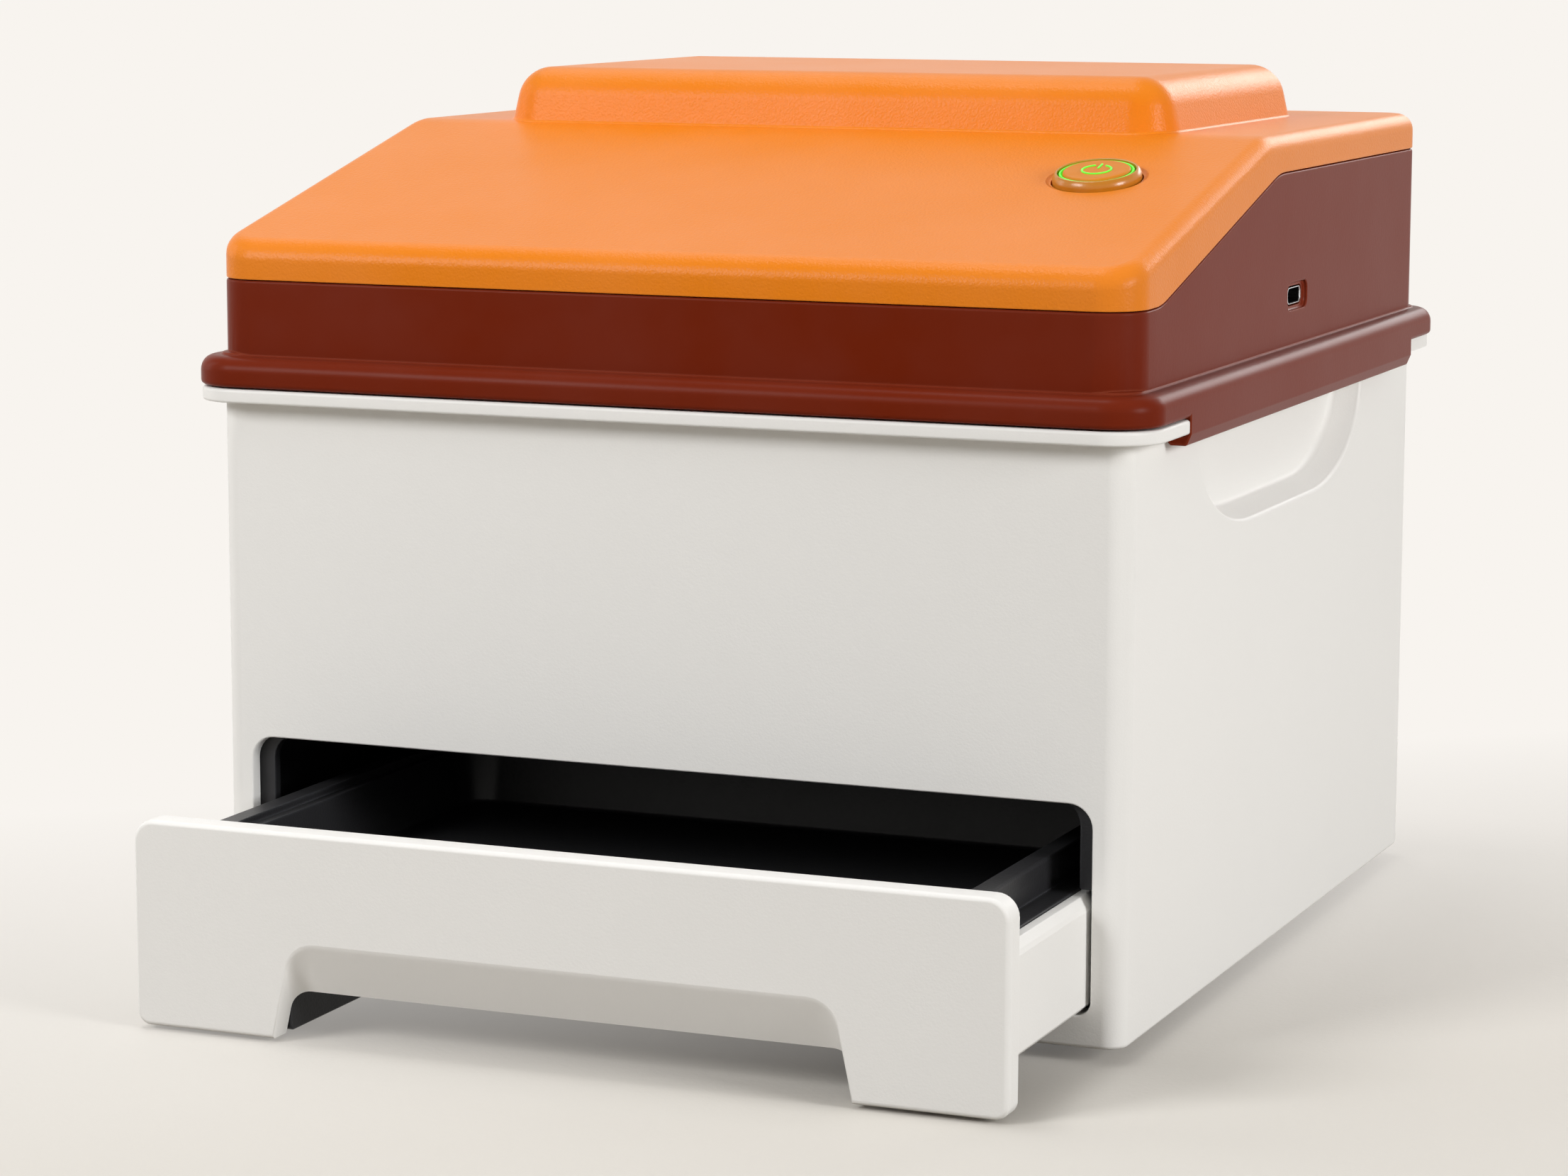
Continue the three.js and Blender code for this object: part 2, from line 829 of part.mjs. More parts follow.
// Light hood between the chamber and the head's window
function makeHood() {
  const plateBottom = linerTop + seatGap;
  const plateTop = plateBottom + hoodPlate;
  const plate = stack({
    halfX: linerHalfX,
    front: -linerHalfY,
    back: linerHalfY,
    corner: binCorner - binWall,
    levels: [[0, plateBottom], [0, plateTop]],
  });
  const around = (grow, z0, z1) => stack({
    halfX: collarHalfX + grow,
    front: closedTrayY - collarHalfY - grow,
    back: closedTrayY + collarHalfY + grow,
    corner: collarCorner + grow,
    levels: [[0, z0], [0, z1]],
  });
  const collar = around(hoodWall, plateBottom, collarTop);
  return plate.add(collar).subtract(around(0, plateBottom - overrun, collarTop + overrun));
}

function makeSeal() {
  const around = (grow, z0, z1) => stack({
    halfX: collarHalfX + grow,
    front: closedTrayY - collarHalfY - grow,
    back: closedTrayY + collarHalfY + grow,
    corner: collarCorner + grow,
    levels: [[0, z0], [0, z1]],
  });
  const bottom = collarTop + seatGap;
  const outer = around(hoodWall + sealProud, bottom, bottom + sealHeight);
  return outer.subtract(around(-sealProud, bottom - overrun, bottom + sealHeight + overrun));
}

// Drawer

function archOutline(height, topWidth, radius) {
  const foot = archFootWidth / 2;
  const below = frontBottom - overrun;
  return roundedPolygon([
    [foot + overrun, below, 0],
    [foot + archFootCorner, frontBottom, 0],
    [foot, frontBottom + archFootCorner, 0],
    [topWidth / 2, height, radius],
    [-topWidth / 2, height, radius],
    [-foot, frontBottom + archFootCorner, 0],
    [-foot - archFootCorner, frontBottom, 0],
    [-foot - overrun, below, 0],
  ]);
}

// The finger scoop: an arch in the front face that falls to a lower arch behind
function makeArch() {
  const face = drawerFrontRear - frontThickness;
  const front = archOutline(archHeight, archTopWidth, archCorner);
  const rear = archOutline(archRearHeight, archRearTopWidth, archRearCorner);
  const at = (outline, y) => outline.map((point) => place(point.x, y, point.y));
  const rings = [
    at(rear, drawerFrontRear + overrun),
    at(rear, drawerFrontRear),
    at(front, face),
    at(front, face - overrun),
  ];
  return ringBody(rings, THREE.ShapeUtils.triangulateShape(front, []));
}

const frontScrewPlaces = bothSides.map((side) => side * frontScrewSpread);
const frontScrewZ = carrierBottom + carrierFloor + frontScrewRise;

function frontScrew(x, grow) {
  const head = upright(0, 0, 0, smallHeadHeight, smallHeadRadius + grow);
  const reach = carrierFrontWall + frontThickness / 2 + grow;
  const shank = upright(0, 0, -reach, smallHeadHeight / 2, smallScrewRadius + grow);
  const whole = grow > 0 ? shank : head.add(shank);
  const along = whole.rotate([-90, 0, 0]);
  return along.translate([x, carrierBayFront, frontScrewZ]);
}

function makeDrawerFront() {
  const half = frontHalfX;
  const face = drawerFrontRear - frontThickness;
  const outline = (inset) => roundedPolygon([
    [half - inset, frontBottom + inset, frontFootCorner],
    [half - inset, frontTop - inset, frontTopCorner],
    [-half + inset, frontTop - inset, frontTopCorner],
    [-half + inset, frontBottom + inset, frontFootCorner],
  ]);
  const at = (points, y) => points.map((point) => place(point.x, y, point.y));
  const rings = [
    at(outline(0), drawerFrontRear),
    at(outline(0), face + frontEdge),
    at(outline(frontEdge / 3), face + frontEdge / 3),
    at(outline(frontEdge), face),
  ];
  const slab = ringBody(rings, THREE.ShapeUtils.triangulateShape(outline(0), []));
  const holes = frontScrewPlaces.map((x) => frontScrew(x, screwClearance));
  return cutBy(slab, [makeArch(), ...holes]);
}

function makeCarrier() {
  const half = carrierHalfX;
  const profile = [
    [-half, carrierBottom + carrierFoot, 0],
    [-half + carrierFoot, carrierBottom, 0],
    [half - carrierFoot, carrierBottom, 0],
    [half, carrierBottom + carrierFoot, 0],
    [half, carrierTop - carrierBevelHeight, 0],
    [half - carrierBevel, carrierTop, 0],
    [-half + carrierBevel, carrierTop, 0],
    [-half, carrierTop - carrierBevelHeight, 0],
  ];
  const block = extrudedAlongY(profile, carrierFront, carrierRear);
  const floorTop = carrierBottom + carrierFloor;
  const inner = half - carrierWall;
  const divider = trayRear + seatGap;
  const trayBay = box(-inner, inner, carrierBayFront, divider, floorTop, carrierTop + overrun);
  const frontStep = box(
    -inner,
    inner,
    carrierFront - overrun,
    carrierBayFront + overrun,
    carrierTop - ledgeDrop,
    carrierTop + overrun,
  );
  const rearBay = box(
    -inner,
    inner,
    divider + carrierWall,
    carrierRear - carrierWall,
    floorTop,
    carrierTop + overrun,
  );
  const ledges = bothSides.map((side) => box(
    side > 0 ? inner - ledgeWidth : -inner - carrierWall / 2,
    side > 0 ? inner + carrierWall / 2 : -inner + ledgeWidth,
    carrierFront + carrierFrontWall / 2,
    divider + carrierWall / 2,
    carrierTop - ledgeDrop - ledgeHeight,
    carrierTop - ledgeDrop,
  ));
  const tab = box(
    -tabHalf,
    tabHalf,
    carrierRear - tabThickness,
    carrierRear,
    carrierBottom - tabDrop,
    carrierBottom + carrierFloor / 2,
  );
  const tenonSlot = skidThickness + 2 * seatGap;
  const grooves = bothSides.map((side) => {
    const middle = side * (skidInner + skidThickness / 2);
    return box(
      middle - tenonSlot / 2,
      middle + tenonSlot / 2,
      carrierFront - overrun,
      carrierFront + skidLength + seatGap,
      carrierBottom - overrun,
      carrierBottom + skidTenon + seatGap,
    );
  });
  const holes = frontScrewPlaces.map((x) => frontScrew(x, screwClearance));
  const frame = joined([cutBy(block, [trayBay, rearBay]), ...ledges, tab]);
  return cutBy(frame, [frontStep, ...grooves, ...holes]);
}

function makeSkid(side) {
  const near = side * skidInner;
  const far = side * (skidInner + skidThickness);
  return box(
    Math.min(near, far),
    Math.max(near, far),
    carrierFront,
    carrierFront + skidLength,
    skidBottom,
    carrierBottom + skidTenon,
  );
}

function makeTray() {
  const flangeTop = trayFlangeBottom + trayFlangeThickness;
  const flange = stack({
    halfX: trayFlangeHalfX,
    front: trayFront,
    back: trayRear,
    corner: trayOuterCorner,
    levels: [[0, trayFlangeBottom], [0, flangeTop]],
  });
  const rim = stack({
    halfX: trayRimHalfX,
    front: trayFront,
    back: trayRear - trayFlange,
    corner: trayOuterCorner,
    levels: [
      [0, trayFlangeBottom + trayFlangeThickness / 2],
      [0, trayRimTop - rimEdge],
      [rimEdge, trayRimTop],
    ],
  });
  const wellAt = (levels) => stack({
    halfX: wellHalfX,
    front: wellFront,
    back: wellRear,
    corner: trayCorner,
    levels,
  });
  const under = wellAt([
    [trayDraft - trayWall, trayFloorTop - trayWall],
    [-trayWall, trayFlangeBottom + trayFlangeThickness / 2],
  ]);
  const cavity = wellAt([
    [trayDraft, trayFloorTop],
    [0, trayRimTop - trayStep],
    [0, trayRimTop + overrun],
  ]);
  const step = wellAt([
    [-trayStepWidth, trayRimTop - trayStep],
    [-trayStepWidth, trayRimTop + overrun],
  ]);
  return cutBy(joined([flange, rim, under]), [cavity, step]);
}

// Head unit

const postPlaces = corners.map(([sideX, sideY]) => [
  sideX * (headHalfX - postInsetX),
  sideY * (headHalfY - postInsetY),
]);

function makeHook(side) {
  const outer = beadHalfX;
  const inner = beadHalfX - hookWall;
  const lipInner = binHalfX + hookSideGap;
  const crease = hookBottom + hookCrease;
  const high = headBottom + beadChamfer;
  const profile = [
    [lipInner, hookBottom + hookLip / 3, 0],
    [lipInner + hookLip / 3, hookBottom, 0],
    [outer - hookBevel, hookBottom, 0],
    [outer, crease, 0],
    [outer, high, 0],
    [inner, high, 0],
    [inner, hookLipTop, 0],
    [lipInner, hookLipTop, 0],
  ];
  const placed = side > 0 ? profile : profile.map(([x, z, radius]) => [-x, z, radius]).reverse();
  return extrudedAlongY(placed, -hookHalf, hookHalf);
}

function usbOutline(length, height) {
  const half = length / 2;
  const rise = height / 2;
  const radius = rise * usbCornerShare;
  return roundedPolygon(rectangle(usbY - half, usbY + half, usbHeight - rise, usbHeight + rise, radius));
}

function makeHeadBase() {
  const kinks = [partingKinkFront - headHalfY, partingKinkRear - headHalfY];
  const walls = stack({
    halfX: headHalfX,
    front: -headHalfY,
    back: headHalfY,
    corner: headCorner,
    kinks,
    levels: [
      [0, headBottom],
      [0, (y) => partingZ(y) - partingChamfer],
      [partingChamfer, partingZ],
    ],
  });
  const bead = stack({
    halfX: beadHalfX,
    front: -beadHalfY,
    back: beadHalfY,
    corner: beadCorner,
    levels: [
      [beadChamfer, headBottom],
      [0, headBottom + beadChamfer],
      ...roundedLevels(beadRadius, () => beadTop - beadShoulder, arcSteps),
      [beadProud, beadTop],
    ],
  });
  const hollow = stack({
    halfX: headHalfX - headWall,
    front: -headHalfY + headWall,
    back: headHalfY - headWall,
    corner: headCorner - headWall,
    levels: [[0, headFloorTop], [0, partingRear + overrun]],
  });
  const pedestal = box(
    headHalfX - headWall - usbBoardWidth - seatGap,
    headHalfX - headWall / 2,
    usbY - usbBoardLength / 2,
    usbY + usbBoardLength / 2,
    headFloorTop - headFloor / 2,
    usbHeight - usbShellHeight / 2 - 2 * seatGap - boardThickness,
  );
  const aperture = stack({
    halfX: collarHalfX - apertureMargin,
    front: closedTrayY - collarHalfY + apertureMargin,
    back: closedTrayY + collarHalfY - apertureMargin,
    corner: collarCorner,
    levels: [[0, headBottom - overrun], [0, headFloorTop + overrun]],
  });
  const usbRecess = extruded(
    usbOutline(usbRecessLength, usbRecessHeight),
    'x',
    headHalfX - usbRecessDepth,
    headHalfX + overrun,
  );
  const usbHole = extruded(
    usbOutline(usbShellLength + 2 * turnGap, usbShellHeight + 2 * turnGap),
    'x',
    headHalfX - headWall - overrun,
    headHalfX + overrun,
  );
  const bores = postPlaces.map(([x, y]) => upright(
    x,
    y,
    headBottom - overrun,
    headFloorTop + overrun,
    screwRadius + screwClearance,
  ));
  const sinks = postPlaces.map(([x, y]) => upright(
    x,
    y,
    headBottom - overrun,
    headBottom + screwHeadHeight + seatGap,
    screwHeadRadius + screwClearance,
  ));
  const shell = joined([walls, bead]).subtract(hollow);
  const whole = joined([shell, pedestal, ...makeBosses(), makeHook(-1), makeHook(1)]);
  const screwHoles = boardScrewPlaces.map(([x, y]) => upright(
    x,
    y,
    headFloorTop - 2 * seatGap,
    mainTop + overrun,
    smallScrewRadius + seatGap,
  ));
  return cutBy(whole, [aperture, usbRecess, usbHole, ...bores, ...sinks, ...screwHoles]);
}

function coverBody(inset) {
  const kinks = [
    partingKinkFront - headHalfY,
    coverFold - headHalfY,
    partingKinkRear - headHalfY,
  ];
  const bottom = inset > 0 ? (y) => partingZ(y) - overrun : (y) => partingZ(y) + seamGap;
  const hem = inset > 0 ? [] : [[0, (y) => partingZ(y) + seamGap + coverHem]];
  return stack({
    halfX: headHalfX - inset,
    front: -headHalfY + inset,
    back: headHalfY - inset,
    corner: headCorner - inset,
    kinks,
    levels: [
      [inset > 0 ? 0 : coverHem, bottom],
      ...hem,
      ...roundedLevels(coverEdge - inset, (y) => coverZ(y) - inset, arcSteps),
    ],
  });
}

function humpBody(inset) {
  const lean = humpDraftShare * (Math.PI / 2);
  const wall = humpTop - coverTop - humpEdge * (1 - Math.sin(lean));
  const radius = humpEdge - inset;
  const round = roundedLevels(radius, () => humpTop - inset, arcSteps + 1, lean);
  return stack({
    halfX: headHalfX - humpSideInset - inset,
    front: coverFold - humpFoldGap - headHalfY + inset,
    back: headHalfY - humpRearInset - inset,
    corner: humpCorner - inset,
    levels: [
      [0, coverTop - coverEdge - inset],
      [0, coverTop],
      ...round.map(([inward, height]) => [inward + wall * Math.tan(lean), height]),
    ],
  });
}

const buttonSeat = new THREE.Object3D();
const buttonY = buttonBack - headHalfY;
buttonSeat.position.set(buttonX, buttonY, coverZ(buttonY));
buttonSeat.rotation.x = slopeAngle;
buttonSeat.updateMatrix();

function inButtonSeat(solid) {
  const geometry = geometryOf(solid);
  geometry.applyMatrix4(buttonSeat.matrix);
  return solidOf(geometry);
}

function makeCover() {
  const shell = coverBody(0).add(humpBody(0));
  const space = coverBody(coverWall).add(humpBody(coverWall));
  const posts = postPlaces.map(([x, y]) => upright(
    x,
    y,
    headFloorTop + slideGap,
    coverZ(y) - coverWall / 2,
    postRadius,
    roundSides,
  ));
  const bores = postPlaces.map(([x, y]) => upright(
    x,
    y,
    headFloorTop - overrun,
    headBottom + screwHeadHeight + seatGap + screwLength + overrun,
    screwRadius + seatGap,
  ));
  const hole = upright(0, 0, -coverWall - 2 * overrun, overrun, bezelRadius + turnGap, 2 * roundSides);
  const dish = turned([
    [0, -dishDepth],
    [bezelRadius + turnGap, -dishDepth],
    [dishRadius, 0],
    [dishRadius, overrun],
    [0, overrun],
  ]);
  const shellWithPosts = joined([shell.subtract(space), ...posts]);
  return cutBy(shellWithPosts, [...bores, inButtonSeat(hole), inButtonSeat(dish)]);
}

function makeCoverScrew([x, y]) {
  const under = headBottom + screwHeadHeight;
  const head = upright(x, y, headBottom + seatGap / 2, under, screwHeadRadius);
  return head.add(upright(x, y, under - screwHeadHeight / 2, under + screwLength, screwRadius));
}

// Power button, in the frame of its seat on the slope

function makeButtonBezel() {
  const inner = bezelRadius - bezelWall;
  const barrel = bezelRadius - bezelWall / 3;
  const shoulder = -coverWall - turnGap / 2;
  return turned([
    [inner, -bezelLength],
    [barrel, -bezelLength],
    [barrel, shoulder],
    [bezelRadius, shoulder],
    [bezelRadius, bezelCollar],
    [bezelRadius - bezelBevel, bezelRise],
    [inner, bezelRise],
    [inner, -bezelLength],
  ]);
}

function makeButtonNut() {
  const hexagon = new THREE.CylinderGeometry(nutWidth / 2, nutWidth / 2, nutHeight, 6);
  hexagon.rotateX(Math.PI / 2);
  hexagon.translate(0, 0, -coverWall - turnGap - nutHeight / 2);
  const bore = upright(0, 0, -bezelLength, 0, bezelRadius - bezelWall / 3 + turnGap, 2 * roundSides);
  return solidOf(hexagon).subtract(bore);
}

const ringOuter = bezelRadius - bezelWall - turnGap;
const capRadius = ringOuter - ringWidth - turnGap;

function makeLightRing() {
  return tube(ringOuter - ringWidth, ringOuter, -capDepth, bezelRise - iconSeat);
}

function makeButtonCap() {
  const disc = upright(0, 0, -capDepth, bezelRise, capRadius, 2 * roundSides);
  return disc.add(upright(0, 0, -capDepth - plungerLength, 0, plungerRadius, roundSides));
}

// Generic power sign: an open ring and a short bar
const iconLow = bezelRise + iconSeat;
const iconHigh = iconLow + iconThickness;

function makeIconRing() {
  const ring = tube(iconRadius - iconStroke, iconRadius, iconLow, iconHigh);
  const half = (iconGap + iconStroke) / 2;
  return ring.subtract(box(-half, half, 0, iconRadius + overrun, iconLow - overrun, iconHigh + overrun));
}

function makeIconBar() {
  const half = iconStroke / 2;
  return box(-half, half, iconRadius + iconTip - iconBar, iconRadius + iconTip, iconLow, iconHigh);
}

function makeSwitchBody() {
  const radius = bezelRadius - bezelWall - turnGap;
  const top = -capDepth - buttonTravel - turnGap;
  const body = upright(0, 0, top - switchLength, top, radius, 2 * roundSides);
  const bore = upright(
    0,
    0,
    -capDepth - plungerLength - buttonTravel - turnGap,
    0,
    plungerRadius + turnGap,
    roundSides,
  );
  return body.subtract(bore);
}

// USB inlet

function makeUsbShell() {
  const front = headHalfX - usbRecessDepth;
  const outer = extruded(usbOutline(usbShellLength, usbShellHeight), 'x', front - usbShellDepth, front);
  const inner = extruded(
    usbOutline(usbShellLength - 2 * usbShellWall, usbShellHeight - 2 * usbShellWall),
    'x',
    front - usbShellDepth + usbShellWall,
    front + overrun,
  );
  return outer.subtract(inner);
}

function makeUsbTongue() {
  const rear = headHalfX - usbRecessDepth - usbShellDepth + usbShellWall + seatGap / 2;
  return box(
    rear,
    rear + usbTongueDepth,
    usbY - usbTongueLength / 2,
    usbY + usbTongueLength / 2,
    usbHeight - usbTongueHeight / 2,
    usbHeight + usbTongueHeight / 2,
  );
}

function makeUsbBoard() {
  const top = usbHeight - usbShellHeight / 2 - seatGap;
  const outer = headHalfX - headWall - seatGap;
  return box(
    outer - usbBoardWidth,
    outer,
    usbY - usbBoardLength / 2 + seatGap,
    usbY + usbBoardLength / 2 - seatGap,
    top - boardThickness,
    top,
  );
}

// Optics

function aroundWindow(grow, z0, z1) {
  return stack({
    halfX: collarHalfX - apertureMargin + grow,
    front: closedTrayY - collarHalfY + apertureMargin - grow,
    back: closedTrayY + collarHalfY - apertureMargin + grow,
    corner: collarCorner,
    levels: [[0, z0], [0, z1]],
  });
}

function lampSlot(side, grow, z0, z1) {
  const y = closedTrayY + side * lampOffset;
  const half = lampLength / 2 + grow;
  return box(-half, half, y - lampWidth / 2 - grow, y + lampWidth / 2 + grow, z0, z1);
}

function makeFrame() {
  const plate = aroundWindow(windowMargin + frameMargin, frameBottom, frameTop);
  const slots = bothSides.map((side) => lampSlot(side, 0, frameBottom - overrun, frameTop + overrun));
  const lensHole = upright(
    0,
    closedTrayY,
    frameBottom - overrun,
    frameTop + overrun,
    lensRadius + slideGap,
    2 * roundSides,
  );
  return cutBy(plate, [...slots, lensHole]);
}

function makeLampFilter(side) {
  return lampSlot(side, -seatGap, frameBottom + seatGap, frameBottom + seatGap + filterThickness);
}

function makeLampBar(side) {
  const low = frameTop + seatGap;
  const strip = lampSlot(side, lampBoardMargin, low, low + boardThickness);
  const y = closedTrayY + side * lampOffset;
  const pitch = lampLength / ledCount;
  const leds = Array.from({ length: ledCount }, (_, i) => {
    const x = (i - (ledCount - 1) / 2) * pitch;
    const half = ledSize / 2;
    return box(x - half, x + half, y - half, y + half, low - ledHeight, low + boardThickness / 2);
  });
  return joined([strip, ...leds]);
}

function makeLensBarrel() {
  const bottom = frameBottom + seatGap;
  const top = frameTop;
  const inner = lensRadius - lensWall;
  const seat = bottom + lensGlassThickness + seatGap;
  const barrel = turned([
    [0, seat + seatGap],
    [inner, seat + seatGap],
    [inner, bottom],
    [lensRadius, bottom],
    [lensRadius, top],
    [0, top],
  ]);
  return barrel.translate([0, closedTrayY, 0]);
}

function makeLensGlass() {
  const low = frameBottom + 2 * seatGap;
  const high = low + lensGlassThickness - seatGap;
  return upright(0, closedTrayY, low, high, lensRadius - lensWall - seatGap, 2 * roundSides);
}

const cameraBottom = frameTop + seatGap;
const cameraTop = cameraBottom + cameraHeight;
const sensorTop = cameraTop + seatGap + boardThickness;

function makeCamera() {
  return stack({
    halfX: cameraWidth / 2,
    front: closedTrayY - cameraWidth / 2,
    back: closedTrayY + cameraWidth / 2,
    corner: cameraCorner,
    levels: [[0, cameraBottom], [0, cameraTop - rimEdge], [rimEdge, cameraTop]],
  });
}

function makeSensorBoard() {
  const half = sensorWidth / 2;
  return box(-half, half, closedTrayY - half, closedTrayY + half, cameraTop + seatGap, sensorTop);
}

// Electronics

const boardLeftX = mainLeft + standoffInset;
const boardRightX = mainLeft + mainWidth - standoffInset;
const boardFrontY = mainFront + standoffInset;
const boardRearY = mainFront + mainDepth - standoffInset;
const boardScrewPlaces = [[boardLeftX, boardRearY], [boardRightX, boardFrontY]];
const boardPegPlaces = [[boardLeftX, boardFrontY], [boardRightX, boardRearY]];

// Moulded bosses under the main board; two take screws and two end in pegs
function makeBosses() {
  const top = headFloorTop + standoffHeight;
  const places = [...boardScrewPlaces, ...boardPegPlaces];
  const bosses = places.map(([x, y]) => upright(x, y, headFloorTop - headFloor / 2, top, standoffRadius));
  const pegTop = mainTop + smallHeadHeight;
  const pegs = boardPegPlaces.map(([x, y]) => upright(x, y, headFloorTop, pegTop, smallScrewRadius));
  return [...bosses, ...pegs];
}

function makeMainBoard() {
  const plate = box(
    mainLeft,
    mainLeft + mainWidth,
    mainFront,
    mainFront + mainDepth,
    mainBottom,
    mainTop,
  );
  return cutBy(plate, [...boardScrewPlaces, ...boardPegPlaces].map(([x, y]) => upright(
    x,
    y,
    mainBottom - overrun,
    mainTop + overrun,
    smallScrewRadius + seatGap,
  )));
}

function makeBoardScrew([x, y]) {
  const z = mainTop + seatGap;
  const length = boardThickness + standoffHeight;
  return screwDown(x, y, z, smallScrewRadius, smallHeadRadius, smallHeadHeight, length);
}

const chipX = mainLeft + mainWidth / 2;
const chipY = mainFront + mainDepth / 2;

function makeProcessor() {
  const half = chipWidth / 2;
  const low = mainTop + seatGap;
  return box(chipX - half, chipX + half, chipY - half, chipY + half, low, low + chipHeight);
}

function makeHeatSink() {
  const half = sinkWidth / 2;
  const low = mainTop + 2 * seatGap + chipHeight;
  const base = box(chipX - half, chipX + half, chipY - half, chipY + half, low, low + sinkBase);
  const pitch = (sinkWidth - finThickness) / (finCount - 1);
  const fins = Array.from({ length: finCount }, (_, i) => {
    const x = chipX - half + i * pitch;
    const finTop = low + sinkBase + finHeight;
    return box(x, x + finThickness, chipY - half, chipY + half, low + sinkBase / 2, finTop);
  });
  return joined([base, ...fins]);
}

const batteryBottom = headFloorTop + seatGap;
const batteryTop = batteryBottom + batteryHeight;

function makeBattery() {
  const pack = stack({
    halfX: batteryWidth / 2,
    front: batteryFront,
    back: batteryFront + batteryDepth,
    corner: batteryCorner,
    levels: [[0, batteryBottom], [0, batteryTop - rimEdge], [rimEdge, batteryTop]],
  });
  return pack.translate([batteryLeft + batteryWidth / 2, 0, 0]);
}

const strapLeft = batteryLeft - seatGap - strapThickness;
const strapRight = batteryLeft + batteryWidth + seatGap + strapThickness;
const strapY = batteryFront + batteryDepth / 2;

function makeStrap() {
  const high = batteryTop + seatGap;
  const foot = batteryBottom;
  const t = strapThickness;
  const profile = [
    [strapLeft - strapFoot, foot, 0],
    [strapLeft + t, foot, 0],
    [strapLeft + t, high, 0],
    [strapRight - t, high, 0],
    [strapRight - t, foot, 0],
    [strapRight + strapFoot, foot, 0],
    [strapRight + strapFoot, foot + t, 0],
    [strapRight, foot + t, 0],
    [strapRight, high + t, 0],
    [strapLeft, high + t, 0],
    [strapLeft, foot + t, 0],
    [strapLeft - strapFoot, foot + t, 0],
  ];
  return extrudedAlongY(profile, strapY - strapWidth / 2, strapY + strapWidth / 2);
}

// Cables inside the head unit

const cableOutline = roundOutline(cableRadius, 6);
const deck = mainTop + cableRadius + seatGap;

function makeSwitchCable() {
  const end = new THREE.Vector3(0, 0, -capDepth - buttonTravel - 2 * turnGap - switchLength - cableRadius);
  const start = end.applyMatrix4(buttonSeat.matrix);
  return cableAlong([
    start,
    place(start.x, start.y + 4 * cableClear, start.z - 3 * cableClear),
    place(buttonX, closedTrayY + frameHalfY, frameTop + 4 * cableClear),
    place(mainLeft + mainWidth * switchPlugShare, mainFront + 2 * cableClear, deck),
    place(mainLeft + mainWidth * switchPlugShare, mainFront + 8 * cableClear, deck),
  ], cableOutline);
}

function makeLampCable(side) {
  const x = -lampLength / 2 + cableClear;
  const y = closedTrayY + side * lampOffset;
  const z = frameTop + seatGap + boardThickness + cableRadius + seatGap;
  const behind = closedTrayY + frameHalfY + cableClear * (side > 0 ? 2 : 4);
  const lane = -frameHalfX + cableClear * (side > 0 ? 8 : 4);
  const aisle = mainLeft - cableClear * (side > 0 ? 4 : 7);
  const end = mainFront + cableClear * (side > 0 ? 8 : 11);
  return cableAlong([
    place(x, y, z),
    place((x + lane) / 2, y, z),
    place(lane, y + 4 * cableClear, z),
    place(lane, behind - 3 * cableClear, z),
    place(lane + 3 * cableClear, behind, z),
    place(aisle - 2 * cableClear, behind, z),
    place(aisle, behind + 3 * cableClear, z),
    place(aisle + 3 * cableClear, end, deck + cableClear),
    place(mainLeft + 5 * cableClear, end, deck),
  ], cableOutline);
}

function makeBatteryCable() {
  const x = batteryLeft + batteryWidth + cableRadius + seatGap;
  const y = batteryFront + batteryDepth * batteryPlugShare;
  return cableAlong([
    place(x, y, batteryTop - 4 * cableClear),
    place(x + 4 * cableClear, y, batteryTop - 4 * cableClear),
    place(mainLeft - cableClear, y - 3 * cableClear, deck + 4 * cableClear),
    place(mainLeft + 4 * cableClear, y - 3 * cableClear, deck),
    place(mainLeft + 8 * cableClear, y - 3 * cableClear, deck),
  ], cableOutline);
}

function makeUsbCable() {
  const top = usbHeight - usbShellHeight / 2;
  const x = headHalfX - headWall - usbBoardWidth + cableClear;
  return cableAlong([
    place(x, usbY, top + cableRadius),
    place(x - 3 * cableClear, usbY + 3 * cableClear, top + cableRadius),
    place(x - 6 * cableClear, mainFront - 2 * cableClear, deck + 2 * cableClear),
    place(x - 6 * cableClear, mainFront + 4 * cableClear, deck),
    place(x - 6 * cableClear, mainFront + 10 * cableClear, deck),
  ], cableOutline);
}

function makeRibbon() {
  const top = sensorTop + ribbonThickness;
  const half = sensorWidth / 2;
  const flat = [
    new THREE.Vector2(-ribbonWidth / 2, -ribbonThickness / 2),
    new THREE.Vector2(ribbonWidth / 2, -ribbonThickness / 2),
    new THREE.Vector2(ribbonWidth / 2, ribbonThickness / 2),
    new THREE.Vector2(-ribbonWidth / 2, ribbonThickness / 2),
  ];
  const x = mainLeft + ribbonWidth;
  const end = mainTop + ribbonThickness;
  return cableAlong([
    place(x, closedTrayY + half / 2, top),
    place(x, closedTrayY + half, top),
    place(x, (closedTrayY + half + mainFront) / 2, (top + end) / 2 + 2 * cableClear),
    place(x, mainFront + cableClear, end + cableClear),
    place(x, mainFront + 6 * cableClear, end),
  ], flat);
}

// Assembly

addPart('bin_shell', makeBin(), 'whitePlastic');
bothSides.forEach((side, i) => {
  addPart(`grip_cup_${sideNames[i]}`, makeGripCup(side), 'whitePlastic');
});
corners.forEach((corner, i) => addPart(`foot_pad_${cornerNames[i]}`, makePad(corner), 'blackRubber'));
addPart('opening_trim', makeTrim(), 'blackPlastic');
addPart('chamber_liner', makeLiner(), 'blackPlastic');
addPart('light_hood', makeHood(), 'blackPlastic');
addPart('light_seal', makeSeal(), 'blackRubber');
addPart('drawer_guide_left', makeGuide(-1), 'blackPlastic');
addPart('drawer_guide_right', makeGuide(1), 'blackPlastic');
addPart('drawer_stop', makeStop(), 'blackRubber');

